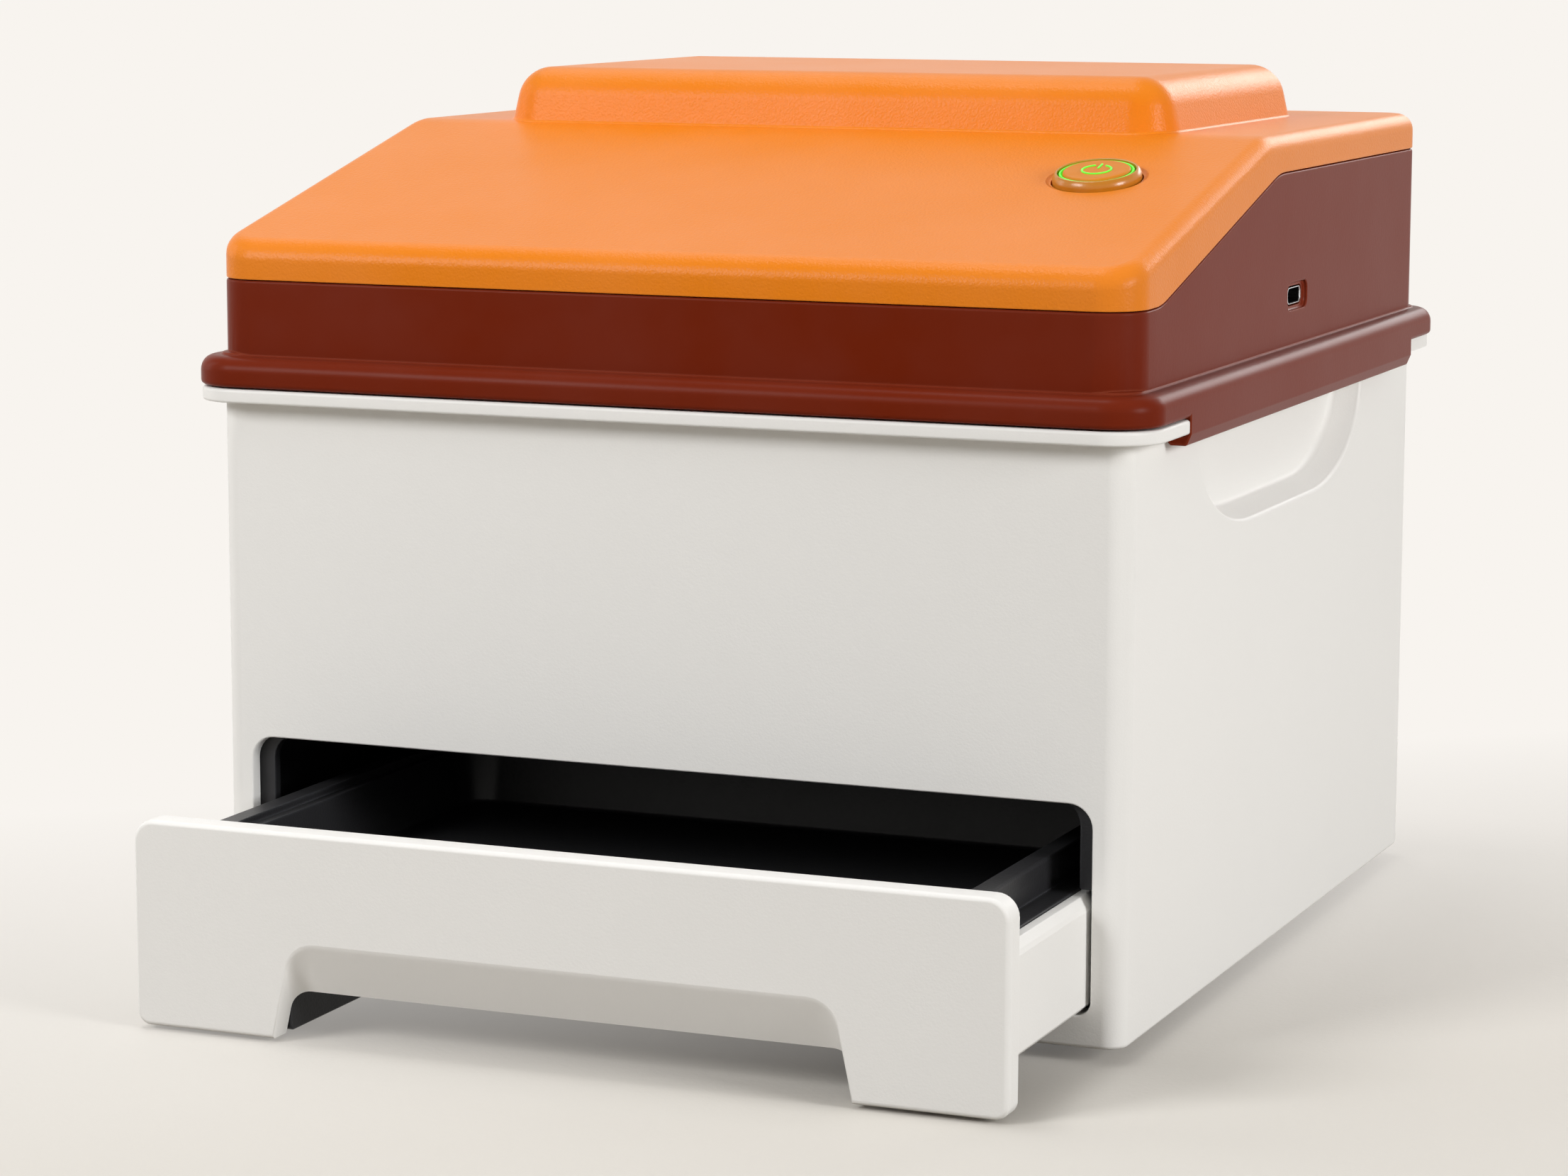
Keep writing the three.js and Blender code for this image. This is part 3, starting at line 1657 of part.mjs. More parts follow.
addPart('drawer_front', makeDrawerFront(), 'whitePlastic');
addPart('drawer_carrier', makeCarrier(), 'whitePlastic');
frontScrewPlaces.forEach((x, i) => addPart(`front_screw_${sideNames[i]}`, frontScrew(x, 0), 'steel'));
addPart('drawer_skid_left', makeSkid(-1), 'blackPlastic');
addPart('drawer_skid_right', makeSkid(1), 'blackPlastic');
addPart('sample_tray', makeTray(), 'blackPlastic');

addPart('head_base', makeHeadBase(), 'maroonPlastic');
addPart('head_cover', makeCover(), 'orangePlastic');
postPlaces.forEach((spot, i) => addPart(`cover_screw_${cornerNames[i]}`, makeCoverScrew(spot), 'steel'));

const buttonGroup = new THREE.Group();
buttonGroup.position.copy(buttonSeat.position);
buttonGroup.rotation.copy(buttonSeat.rotation);
part.add(buttonGroup);
addPart('button_bezel', makeButtonBezel(), 'amberMetal', buttonGroup);
addPart('button_nut', makeButtonNut(), 'aluminium', buttonGroup);
addPart('button_light_ring', makeLightRing(), 'greenLight', buttonGroup);
addPart('button_cap', makeButtonCap(), 'amberPlastic', buttonGroup);
addPart('button_icon_ring', makeIconRing(), 'greenLight', buttonGroup);
addPart('button_icon_bar', makeIconBar(), 'greenLight', buttonGroup);
addPart('switch_body', makeSwitchBody(), 'blackPlastic', buttonGroup);

addPart('usb_shell', makeUsbShell(), 'steel');
addPart('usb_tongue', makeUsbTongue(), 'blackPlastic');
addPart('usb_board', makeUsbBoard(), 'greenBoard');

addPart('optics_window', aroundWindow(windowMargin, headFloorTop + seatGap, windowTop), 'glass');
addPart('optics_frame', makeFrame(), 'blackPlastic');
addPart('lamp_filter_front', makeLampFilter(-1), 'violetGlass');
addPart('lamp_filter_rear', makeLampFilter(1), 'violetGlass');
addPart('lamp_bar_front', makeLampBar(-1), 'aluminium');
addPart('lamp_bar_rear', makeLampBar(1), 'aluminium');
addPart('lens_barrel', makeLensBarrel(), 'blackPlastic');
addPart('lens_glass', makeLensGlass(), 'glass');
addPart('camera_housing', makeCamera(), 'aluminium');
addPart('sensor_board', makeSensorBoard(), 'greenBoard');

addPart('main_board', makeMainBoard(), 'greenBoard');
boardScrewPlaces.forEach((spot, i) => {
  addPart(`board_screw_${sideNames[i]}`, makeBoardScrew(spot), 'steel');
});
addPart('processor', makeProcessor(), 'blackPlastic');
addPart('heat_sink', makeHeatSink(), 'aluminium');
addPart('battery_pack', makeBattery(), 'blueWrap');
addPart('battery_strap', makeStrap(), 'aluminium');

addPart('switch_cable', makeSwitchCable(), 'greyCable');
addPart('lamp_cable_front', makeLampCable(-1), 'greyCable');
addPart('lamp_cable_rear', makeLampCable(1), 'greyCable');
addPart('battery_cable', makeBatteryCable(), 'greyCable');
addPart('usb_cable', makeUsbCable(), 'greyCable');
addPart('camera_ribbon', makeRibbon(), 'greyCable');

export default part;
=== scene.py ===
import json
import math

import bmesh
import bpy
from mathutils import Matrix, Vector


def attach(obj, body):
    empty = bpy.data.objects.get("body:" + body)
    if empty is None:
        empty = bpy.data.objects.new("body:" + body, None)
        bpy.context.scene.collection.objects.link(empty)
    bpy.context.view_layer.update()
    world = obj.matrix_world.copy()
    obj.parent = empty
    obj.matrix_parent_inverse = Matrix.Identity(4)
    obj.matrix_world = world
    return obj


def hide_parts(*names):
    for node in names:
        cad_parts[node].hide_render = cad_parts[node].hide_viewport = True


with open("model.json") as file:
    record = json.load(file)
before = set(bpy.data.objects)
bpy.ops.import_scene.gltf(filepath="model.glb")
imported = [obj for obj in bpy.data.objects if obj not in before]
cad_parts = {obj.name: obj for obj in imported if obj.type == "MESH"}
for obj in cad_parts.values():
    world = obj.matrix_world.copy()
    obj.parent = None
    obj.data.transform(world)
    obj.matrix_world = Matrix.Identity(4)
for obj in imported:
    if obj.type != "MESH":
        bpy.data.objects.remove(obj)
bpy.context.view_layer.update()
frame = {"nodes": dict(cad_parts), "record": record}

# Sizes in millimetres, in the frame of the solids: +X right, +Y back, +Z up.
# Materials, lamps, floor and camera are in metres.
MM = 0.001
ROUND_STEPS = 8
OVERRUN = 2
HAIR = 0.02

TABLE_Z = -2.8

HEAD_X = 90
HEAD_Y = 96.5
HEAD_CORNER = 8
HEAD_WALL = 2.4
HEAD_BOTTOM = 109.8
HEAD_FLOOR_TOP = 112.2
PARTING_FRONT = 129.4
PARTING_REAR = 148.6
PARTING_START_Y = -81.8
PARTING_END_Y = -9.1
PARTING_SOFTNESS = 3.5
PARTING_EDGE = 0.45
SEAM = 0.14

BEAD_PROUD = 4.1
BEAD_TOP = 115.5
BEAD_ROUND = 2.8
BEAD_SHOULDER = 0.15
BEAD_CORNER = 9.5

COVER_FRONT_TOP = 136.4
COVER_TOP = 155.9
COVER_FOLD_Y = -15.5
COVER_SLOPE = (COVER_TOP - COVER_FRONT_TOP) / (COVER_FOLD_Y + HEAD_Y)
COVER_SOFTNESS = 3
COVER_EDGE = 3.4
COVER_WALL = 2.5
HUMP_X = 69.8
HUMP_FRONT = -15.9
HUMP_BACK = 73.5
HUMP_TOP = 166.4
HUMP_EDGE = 7
HUMP_CORNER = 8.5
HUMP_CREASE = 0.5
HUMP_LEAN = 12.6

BIN_X = 89.2
BIN_Y = 95.7
BIN_CORNER = 4
BIN_WALL = 2.6
RIM_BOTTOM = 106.9
RIM_TOP = 109.5
RIM_X = 93.9
RIM_Y = 100.4
RIM_CORNER = 9.5
SILL_Z = 5.8
OPENING_X = 83.2
OPENING_TOP = 43.5
OPENING_CORNER = 4.4
OPENING_FOOT_CORNER = 2.6
LIP = 0.4
GRIP_HALF_LENGTH = 55.3
GRIP_FOOT_Z = 85.4
GRIP_END_WIDTH = 34
GRIP_END_HEIGHT = 19
GRIP_DEPTH = 5.8
GRIP_LIP = 1.0
GRIP_FILLET = 1.6
GRIP_DRAFT = 2.2
PAD_INSET = 16
PAD_RADIUS = 6

DRAWER_BACK = -133.7
FRONT_THICKNESS = 5.2
FRONT_X = 83.5
FRONT_BOTTOM = -2
FRONT_TOP = 35.9
FRONT_EDGE = 0.9
CLOSE_TRAVEL = 37.7
SKID_X = 56.05
SKID_HALF = 1.25
SKID_FRONT = -133.5
SKID_BACK = -98.9
FRONT_SCREW_X = 62
FRONT_SCREW_Z = 13.8
ARCH_FOOT_X = 54.4
ARCH_TOP_X = 51.8
ARCH_TOP_Z = 15.6
ARCH_CORNER = 5.6
ARCH_INNER_X = 53.7
ARCH_INNER_Z = 6.2
ARCH_INNER_CORNER = 4.4
ARCH_LIP = 0.5

TRAY_FRONT = -133.4
TRAY_BACK = -24.4
TRAY_Y = -44.5
STEP_DEPTH = 1.4
STEP_WIDTH = 1.9

HOOK_HALF_LENGTH = 76.5
HOOK_BOTTOM = 104.8
HOOK_X = 92.8
HOOK_LIP_X = 89.7

BUTTON_X = 65.2
BUTTON_Y = -43.5

USB_Y = 4.1
USB_Z = 124.8
USB_DEPTH = 0.7
USB_LENGTH = 7.4
USB_SHELL = (8.94, 3.26)
USB_BORE = (8.34, 2.66)
USB_RECESS = (13.2, 5.1)
USB_HOLE = (9.54, 3.86)

CORNERS = [(-1, -1), (-1, 1), (1, -1), (1, 1)]
CORNER_NAMES = ["front_left", "rear_left", "front_right", "rear_right"]


# Bodies: each is a list of points and a list of faces

def arc(centre, radius, start, end, steps=ROUND_STEPS):
    """Points of an arc about (x, y), angles in degrees; radius may be a pair."""
    wide, high = radius if isinstance(radius, tuple) else (radius, radius)
    points = []
    for step in range(steps + 1):
        angle = math.radians(start + (end - start) * step / steps)
        points.append((centre[0] + wide * math.cos(angle), centre[1] + high * math.sin(angle)))
    return points


def lip_levels(lip, steps=4):
    """(outward, deep) pairs of a round lip of an opening, from the face inwards."""
    angles = [math.radians(90 * step / steps) for step in range(steps + 1)]
    return [(lip * (1 - math.sin(a)), lip * (1 - math.cos(a))) for a in angles]


def band(low, high, count):
    """The faces between two rings, by the numbers of their first points."""
    pairs = [(i, (i + 1) % count) for i in range(count)]
    return [(low + i, low + after, high + after, high + i) for i, after in pairs]


def loft(rings, caps=None):
    """A closed body through rings with the same number of points."""
    count = len(rings[0])
    points = [point for ring in rings for point in ring]
    last = (len(rings) - 1) * count
    faces = [face for low in range(0, last, count) for face in band(low, low + count, count)]
    for cap in caps or [tuple(range(count))]:
        faces.append(tuple(reversed(cap)))
        faces.append(tuple(last + i for i in cap))
    return points, faces


def stack(half_x, front, back, corner, levels, rows=(), steps=ROUND_STEPS):
    """A rounded rectangle stacked up through (inset, height) levels; a height may
    be a function of y, and rows are places y where the sides get points."""
    rings = []
    for inset, height in levels:
        radius = max(corner - inset, 0.12)
        x, low, high = half_x - inset, front + inset, back - inset
        right = arc((x - radius, low + radius), radius, -90, 0, steps)
        right += [(x, y) for y in rows]
        right += arc((x - radius, high - radius), radius, 0, 90, steps)
        outline = right + [(-x, y) for x, y in reversed(right)]
        height_at = height if callable(height) else lambda y, fixed=height: fixed
        rings.append([(x, y, height_at(y)) for x, y in outline])
    count = len(rings[0])
    ladder = [(i, i + 1, count - 2 - i, count - 1 - i) for i in range(count // 2 - 1)]
    return loft(rings, ladder)


def rounding(radius, height_at, steps=ROUND_STEPS, down=False, lean=0):
    """Levels of a round that ends at the given height, above or below. The wall
    under it may lean in by some degrees."""
    levels = []
    for step in range(steps + 1):
        angle = math.radians(lean + (90 - lean) * step / steps)
        inset = radius * (math.cos(math.radians(lean)) - math.cos(angle))
        drop = radius * (1 - math.sin(angle)) * (-1 if down else 1)
        if callable(height_at):
            levels.append((inset, lambda y, drop=drop: height_at(y) - drop))
        else:
            levels.append((inset, height_at - drop))
    return levels[::-1] if down else levels


def rounded_outline(corners, grow=0, steps=ROUND_STEPS):
    """A counterclockwise outline of (x, y, radius) corners, grown on all sides."""
    outline = []
    count = len(corners)
    for i, (x, y, radius) in enumerate(corners):
        here = Vector((x, y))
        before = (Vector(corners[i - 1][:2]) - here).normalized()
        after = (Vector(corners[(i + 1) % count][:2]) - here).normalized()
        turn = before.x * after.y - before.y * after.x
        middle = (before + after).normalized()
        half = before.angle(after) / 2
        outward = -1 if turn < 0 else 1
        here = here + middle * outward * grow / math.sin(half)
        size = max(radius - outward * grow, 0)
        if radius == 0 or size < HAIR:
            outline.extend([tuple(here)] * (1 if radius == 0 else steps + 1))
            continue
        centre = here + middle * size / math.sin(half)
        start = here + before * size / math.tan(half) - centre
        end = here + after * size / math.tan(half) - centre
        first = math.atan2(start.y, start.x)
        sweep = (math.atan2(end.y, end.x) - first + math.pi) % (2 * math.pi) - math.pi
        for step in range(steps + 1):
            angle = first + sweep * step / steps
            outline.append((centre.x + size * math.cos(angle), centre.y + size * math.sin(angle)))
    return outline


def rectangle(x0, x1, y0, y1, radius):
    return [(x0, y0, radius), (x1, y0, radius), (x1, y1, radius), (x0, y1, radius)]


def across_y(outline, y):
    """An outline of (x, z) points as a ring at y."""
    return [(x, y, z) for x, z in outline]


def across_x(outline, x):
    """An outline of (y, z) points as a ring at x."""
    return [(x, y, z) for y, z in outline]


def block(x0, x1, y0, y1, z0, z1):
    outline = [(x0, y0), (x1, y0), (x1, y1), (x0, y1)]
    return loft([[(x, y, z) for x, y in outline] for z in (z0, z1)])


def soft_block(x0, x1, y0, y1, z0, z1, edge, steps=3):
    """A block with rounded upright corners and rounded top and bottom edges."""
    middle_x, middle_y = (x0 + x1) / 2, (y0 + y1) / 2
    levels = rounding(edge, z0, steps, down=True) + rounding(edge, z1, steps)
    points, faces = stack(x1 - middle_x, y0 - middle_y, y1 - middle_y, edge, levels, steps=steps)
    return [(x + middle_x, y + middle_y, z) for x, y, z in points], faces


def circle(radius, height, sides, x=0, y=0):
    angles = [2 * math.pi * i / sides for i in range(sides)]
    return [(x + radius * math.cos(a), y + radius * math.sin(a), height) for a in angles]


def turned(profile, sides=96, x=0, y=0):
    """A turned body about +Z through (radius, height) points, from axis to axis."""
    return loft([circle(max(radius, 0.001), height, sides, x, y) for radius, height in profile])


def tube(inner, profile, sides=96):
    """A turned ring: an outer profile of (radius, height) points closed by a bore."""
    closed = [(inner, profile[0][1]), *profile, (inner, profile[-1][1])]
    points = [point for radius, height in closed for point in circle(radius, height, sides)]
    faces = [face for low in range(0, len(points), sides)
             for face in band(low, (low + sides) % len(points), sides)]
    return points, faces


def pin(x, y, z0, z1, radius, sides=24):
    return turned([(radius, z0), (radius, z1)], sides, x, y)


def moved(body, matrix):
    points, faces = body
    return [tuple(matrix @ Vector(point)) for point in points], faces


def mesh_of(body):
    points, faces = body
    mesh = bpy.data.meshes.new("body")
    mesh.from_pydata([Vector(point) * MM for point in points], [], faces)
    form = bmesh.new()
    form.from_mesh(mesh)
    bmesh.ops.remove_doubles(form, verts=form.verts, dist=1e-7)
    bmesh.ops.dissolve_degenerate(form, edges=form.edges, dist=1e-7)
    bmesh.ops.recalc_face_normals(form, faces=form.faces)
    form.to_mesh(mesh)
    form.free()
    return mesh


def in_scene(name, data):
    """A new object in the scene."""
    made = bpy.data.objects.new(name, data)
    bpy.context.collection.objects.link(made)
    return made


def carved(body, steps):
    """The mesh of a body after a list of ("UNION" or "DIFFERENCE", body) steps."""
    base = in_scene("base", mesh_of(body))
    tools = [in_scene("tool", mesh_of(tool_body)) for _, tool_body in steps]
    for (operation, _), tool in zip(steps, tools):
        change = base.modifiers.new(operation, "BOOLEAN")
        change.operation = operation
        change.solver = "EXACT"
        change.object = tool
    shown = base.evaluated_get(bpy.context.evaluated_depsgraph_get())
    mesh = bpy.data.meshes.new_from_object(shown)
    for unused in [base, *tools]:
        old = unused.data
        bpy.data.objects.remove(unused)
        bpy.data.meshes.remove(old)
    return mesh


def added(*bodies):
    return [("UNION", body) for body in bodies]


def removed(*bodies):
    return [("DIFFERENCE", body) for body in bodies]


def new_piece(name, mesh, body, nodes, slot, sharp=35, material=None):
    """A finished piece: smooth shading, the material of its slot unless another is
    given, and its place in the frame."""
    mesh.name = name
    piece = in_scene(name, mesh)
    mesh.materials.clear()
    mesh.materials.append(material or FINISHES[slot])
    for face in mesh.polygons:
        face.use_smooth = True
        face.material_index = 0
    mesh.set_sharp_from_angle(angle=math.radians(sharp))
    shade = piece.modifiers.new("even_shading", "WEIGHTED_NORMAL")
    shade.keep_sharp = True
    shade.weight = 50
    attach(piece, body)
    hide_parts(*nodes)


# Heights of the parting line and of the cover's top, with softened kinks

def soft_ramp(distance, softness):
    """Zero past the kink and rising in front of it, with a round between."""
    if distance >= softness:
        return 0
    if distance <= -softness:
        return -distance
    return (softness - distance) ** 2 / (4 * softness)


def parting_z(y):
    run = PARTING_END_Y - PARTING_START_Y
    slope = (PARTING_REAR - PARTING_FRONT) / run
    after_start = soft_ramp(PARTING_START_Y - y, PARTING_SOFTNESS)
    after_end = soft_ramp(PARTING_END_Y - y, PARTING_SOFTNESS)
    return PARTING_FRONT + slope * (after_start - after_end)


def cover_z(y):
    return COVER_TOP - COVER_SLOPE * soft_ramp(y - COVER_FOLD_Y, COVER_SOFTNESS)


def rows_about(y, reach, count=6):
    return [y + reach * (2 * i / count - 1) for i in range(count + 1)]


# Node groups

def socket_kind(default):
    """The kind of a group's input, by its default: a number, a place or a colour."""
    if isinstance(default, tuple):
        return "NodeSocketColor" if len(default) == 4 else "NodeSocketVector"
    return "NodeSocketFloat"


def new_group(name, inputs, output, kind="NodeSocketFloat"):
    """A group with named inputs and one output; gives its tree and those sockets."""
    tree = bpy.data.node_groups.new(name, "ShaderNodeTree")
    for label, default in inputs.items():
        socket = tree.interface.new_socket(
            name=label, in_out="INPUT", socket_type=socket_kind(default))
        socket.default_value = default
    tree.interface.new_socket(name=output, in_out="OUTPUT", socket_type=kind)
    given = tree.nodes.new("NodeGroupInput").outputs
    return tree, given, tree.nodes.new("NodeGroupOutput").inputs[output]


def feed(tree, socket, value):
    """Link an input to another node's output, or set it to a plain value."""
    if isinstance(value, bpy.types.NodeSocket):
        tree.links.new(value, socket)
    else:
        socket.default_value = value


def add_node(tree, kind, inputs=None, **settings):
    """A node with its inputs set or linked, by socket name or number."""
    made = tree.nodes.new("ShaderNode" + kind)
    for key, value in settings.items():
        setattr(made, key, value)
    for key, value in (inputs or {}).items():
        feed(tree, made.inputs[key], value)
    return made


def math_node(tree, operation, *values, clamp=False):
    inputs = dict(enumerate(values))
    return add_node(tree, "Math", inputs, operation=operation, use_clamp=clamp).outputs[0]


def times(tree, first, second, clamp=False):
    return math_node(tree, "MULTIPLY", first, second, clamp=clamp)


def plus(tree, first, second, clamp=False):
    return math_node(tree, "ADD", first, second, clamp=clamp)


def minus(tree, first, second):
    return math_node(tree, "SUBTRACT", first, second)


def ranged(tree, value, start, end, first=0.0, last=1.0):
    """A value between first and last, as the given one goes from start to end."""
    return add_node(tree, "MapRange", {
        "Value": value, "From Min": start, "From Max": end, "To Min": first, "To Max": last,
    }).outputs["Result"]


def blended(tree, share, first, second):
    """A colour between two colours."""
    mix = add_node(tree, "Mix", {"Factor": share, 6: first, 7: second}, data_type="RGBA")
    return mix.outputs[2]


def place_on_piece(tree):
    return add_node(tree, "TexCoord").outputs["Object"]


def noise(tree, scale, detail, roughness=0.5, place=None):
    """Soft noise from 0 to 1, fixed to the piece unless another place is given."""
    return add_node(tree, "TexNoise", {
        "Vector": place or place_on_piece(tree), "Scale": scale, "Detail": detail,
        "Roughness": roughness,
    }).outputs["Fac"]


def relief(tree, height, strength, distance):
    """A normal that follows a fine height."""
    return add_node(tree, "Bump", {
        "Height": height, "Strength": strength, "Distance": distance,
    }).outputs["Normal"]


def make_mottle_group():
    """Slow patches of a slightly lighter and darker colour."""
    tree, given, result = new_group(
        "soft_mottle",
        {"Colour": (0.5, 0.5, 0.5, 1), "Patch Size": 0.03, "Change": 0.03},
        "Colour", "NodeSocketColor")
    scale = math_node(tree, "DIVIDE", 1.0, given["Patch Size"])
    swing = times(tree, minus(tree, noise(tree, scale, 3.0, 0.6), 0.5), given["Change"])
    swing = times(tree, swing, 4.0)
    tinted = add_node(tree, "HueSaturation", {
        "Color": given["Colour"], "Value": plus(tree, swing, 1.0),
        "Saturation": minus(tree, 1.0, swing),
    })
    tree.links.new(tinted.outputs["Color"], result)
    return tree


def make_grain_group():
    """The leathery grain of a spark-eroded mould: small rounded cells and fine noise."""
    tree, given, result = new_group(
        "mould_grain", {"Cell Size": 0.0008, "Fine Share": 0.4}, "Height")
    place = place_on_piece(tree)
    scale = math_node(tree, "DIVIDE", 1.0, given["Cell Size"])
    bend = add_node(tree, "TexNoise", {"Vector": place, "Scale": scale, "Detail": 1.0})
    bent = add_node(tree, "VectorMath", {
        0: bend.outputs["Color"], "Scale": given["Cell Size"],
    }, operation="SCALE")
    shifted = add_node(tree, "VectorMath", {0: place, 1: bent.outputs[0]}, operation="ADD")
    cells = add_node(tree, "TexVoronoi", {
        "Vector": shifted.outputs[0], "Scale": scale, "Smoothness": 0.5,
    }, feature="SMOOTH_F1")
    fine = noise(tree, times(tree, scale, 2.7), 2.0, 0.6)
    high = minus(tree, 1.0, cells.outputs["Distance"])
    tree.links.new(plus(tree, high, times(tree, fine, given["Fine Share"])), result)
    return tree


def make_edge_wear_and_highlight_group():
    """A mask of the outer edges, where handling rubs a surface smoother; the paler colour it
    brings is a painted highlight along the edges.
    """
    tree, given, result = new_group(
        "edge_wear_and_painted_highlight", {"Width": 0.0008, "Strength": 1.0, "Patchiness": 0.4}, "Mask")
    soft = add_node(tree, "Bevel", {"Radius": given["Width"]}, samples=6)
    sharp = add_node(tree, "NewGeometry")
    facing = add_node(tree, "VectorMath", {
        0: soft.outputs["Normal"], 1: sharp.outputs["Normal"],
    }, operation="DOT_PRODUCT")
    turn = times(tree, minus(tree, 1.0, facing.outputs["Value"]), 6.0)
    spread = times(tree, minus(tree, noise(tree, 140.0, 4.0), 0.5), given["Patchiness"])
    spread = plus(tree, times(tree, spread, 2.0), 1.0)
    mask = times(tree, times(tree, turn, spread), given["Strength"], clamp=True)
    tree.links.new(mask, result)
    return tree


def make_dust_group():
    """A thin, uneven film of dust on faces that look up."""
    tree, given, result = new_group(
        "settled_dust", {"Amount": 0.1, "Speck Size": 0.004}, "Mask")
    facing = add_node(tree, "SeparateXYZ", {0: add_node(tree, "NewGeometry").outputs["Normal"]})
    up = times(tree, facing.outputs["Z"], 1.0, clamp=True)
    scale = math_node(tree, "DIVIDE", 1.0, given["Speck Size"])
    film = times(tree, up, noise(tree, scale, 6.0, 0.75))
    tree.links.new(times(tree, film, given["Amount"], clamp=True), result)
    return tree


def make_brushing_group():
    """Fine parallel tool marks along one axis."""
    tree, given, result = new_group(
        "brush_marks", {"Stretch": (40.0, 2500.0, 2500.0), "Depth": 1.0}, "Height")
    place = add_node(tree, "VectorMath", {
        0: place_on_piece(tree), 1: given["Stretch"],
    }, operation="MULTIPLY")
    marks = noise(tree, 1.0, 2.0, 0.7, place.outputs[0])
    tree.links.new(times(tree, marks, given["Depth"]), result)
    return tree


SOFT_MOTTLE = make_mottle_group()
MOULD_GRAIN = make_grain_group()
EDGE_WEAR_AND_HIGHLIGHT = make_edge_wear_and_highlight_group()
SETTLED_DUST = make_dust_group()
BRUSH_MARKS = make_brushing_group()


def use_group(tree, group, **values):
    made = tree.nodes.new("ShaderNodeGroup")
    made.node_tree = group
    for key, value in values.items():
        feed(tree, made.inputs[key.replace("_", " ").title()], value)
    return made.outputs[0]


# Materials

def colour(text):
    """A written colour such as "e4e2dd" as a shader colour."""
    parts = [int(text[i:i + 2], 16) / 255 for i in (0, 2, 4)]
    linear = [p / 12.92 if p <= 0.04045 else ((p + 0.055) / 1.055) ** 2.4 for p in parts]
    return (*linear, 1.0)


def new_material(name, **sockets):
    """A material with one shader, whose even values are set on its own sockets."""
    material = bpy.data.materials.new(name)
    material.use_nodes = True
    tree = material.node_tree
    shader = tree.nodes["Principled BSDF"]
    for key, value in sockets.items():
        shader.inputs[key.replace("_", " ")].default_value = value
    return material, tree, shader


def dress(tree, shader, **values):
    """Feed inputs of the shader, named with _ for a space."""
    for key, value in values.items():
        feed(tree, shader.inputs[key.replace("_", " ")], value)


def moulded_plastic(name, tone, edge_highlight_tone, gloss, cell, depth, rough_change=0.08, edge=0.0008,
                    edge_share=0.35, change=0.03, patch=0.04, dust=0.12, dust_tone="e9e6e0",
                    **sockets):
    """Moulded plastic: mottled colour, edges rubbed smoother and painted paler as a highlight, a
    little dust and a mould grain.
    """
    material, tree, shader = new_material(name, **sockets)
    base = use_group(tree, SOFT_MOTTLE, Colour=colour(tone), patch_size=patch, change=change)
    edges = use_group(tree, EDGE_WEAR_AND_HIGHLIGHT, width=edge, strength=1.0, patchiness=0.5)
    film = use_group(tree, SETTLED_DUST, amount=dust, speck_size=0.003)
    # The paler colour along the edges is a painted highlight.
    edge_highlit = blended(tree, times(tree, edges, edge_share), base, colour(edge_highlight_tone))
    dusty = blended(tree, film, edge_highlit, colour(dust_tone))
    uneven = minus(tree, noise(tree, 26.0, 5.0, 0.65), 0.5)
    uneven = times(tree, uneven, rough_change)
    rough = plus(tree, uneven, gloss)
    rough = minus(tree, rough, times(tree, edges, 0.08))
    rough = plus(tree, rough, times(tree, film, 0.5), clamp=True)
    grain = use_group(tree, MOULD_GRAIN, cell_size=cell, fine_share=0.5)
    dress(tree, shader, Base_Color=dusty, Roughness=rough, Normal=relief(tree, grain, 1.0, depth))
    return material


MARKS_ALONG_X = (60.0, 2500.0, 2500.0)
MARKS_ALONG_Y = (2500.0, 60.0, 2500.0)


def bare_metal(name, tone, dark, gloss, stretch, depth=0.00002):
    """Metal with tool marks, uneven gloss and darker patches."""
    material, tree, shader = new_material(name, Metallic=1.0)
    base = use_group(tree, SOFT_MOTTLE, Colour=colour(tone), patch_size=0.006, change=0.05)
    marks = use_group(tree, BRUSH_MARKS, stretch=stretch, depth=1.0)
    streaked = blended(tree, times(tree, marks, 0.3), base, colour(dark))
    rough = plus(tree, times(tree, marks, 0.2), gloss, clamp=True)
    dress(tree, shader, Base_Color=streaked, Roughness=rough,
          Normal=relief(tree, marks, 0.5, depth))
    return material


def socket_metal_shaded_inside(name, tone, inside, lip_x):
    """Bright metal at the lip of a socket and, past an X place, a painted black shade deeper
    inside.
    """
    material, tree, shader = new_material(name)
    base = use_group(tree, SOFT_MOTTLE, Colour=colour(tone), patch_size=0.002, change=0.05)
    apart = add_node(tree, "SeparateXYZ", {0: place_on_piece(tree)})
    lip = math_node(tree, "GREATER_THAN", apart.outputs["X"], lip_x)
    marks = use_group(tree, BRUSH_MARKS, stretch=MARKS_ALONG_Y, depth=1.0)
    rough = plus(tree, times(tree, marks, 0.2), 0.2, clamp=True)
    # Past the lip the steel is painted near-black: painted shade in the socket's hollow.
    dress(tree, shader, Base_Color=blended(tree, lip, colour(inside), base), Metallic=lip,
          Roughness=rough)
    return material


def lit_plastic(name, tone, bright, strength):
    """Clear plastic lit from behind, slightly uneven."""
    material, tree, shader = new_material(name, Roughness=0.3, Emission_Strength=strength)
    glow = noise(tree, 300.0, 2.0)
    light = blended(tree, glow, colour(tone), colour(bright))
    dress(tree, shader, Base_Color=light, Emission_Color=light)
    return material


def clear_glass(name, tone, smear_size):
    """Glass with a slight smear in its gloss."""
    material, tree, shader = new_material(name, IOR=1.5, Transmission_Weight=1.0)
    base = use_group(tree, SOFT_MOTTLE, Colour=colour(tone), patch_size=0.02, change=0.02)
    smear = use_group(tree, SETTLED_DUST, amount=0.3, speck_size=smear_size)
    dress(tree, shader, Base_Color=base, Roughness=plus(tree, smear, 0.03, clamp=True))
    return material


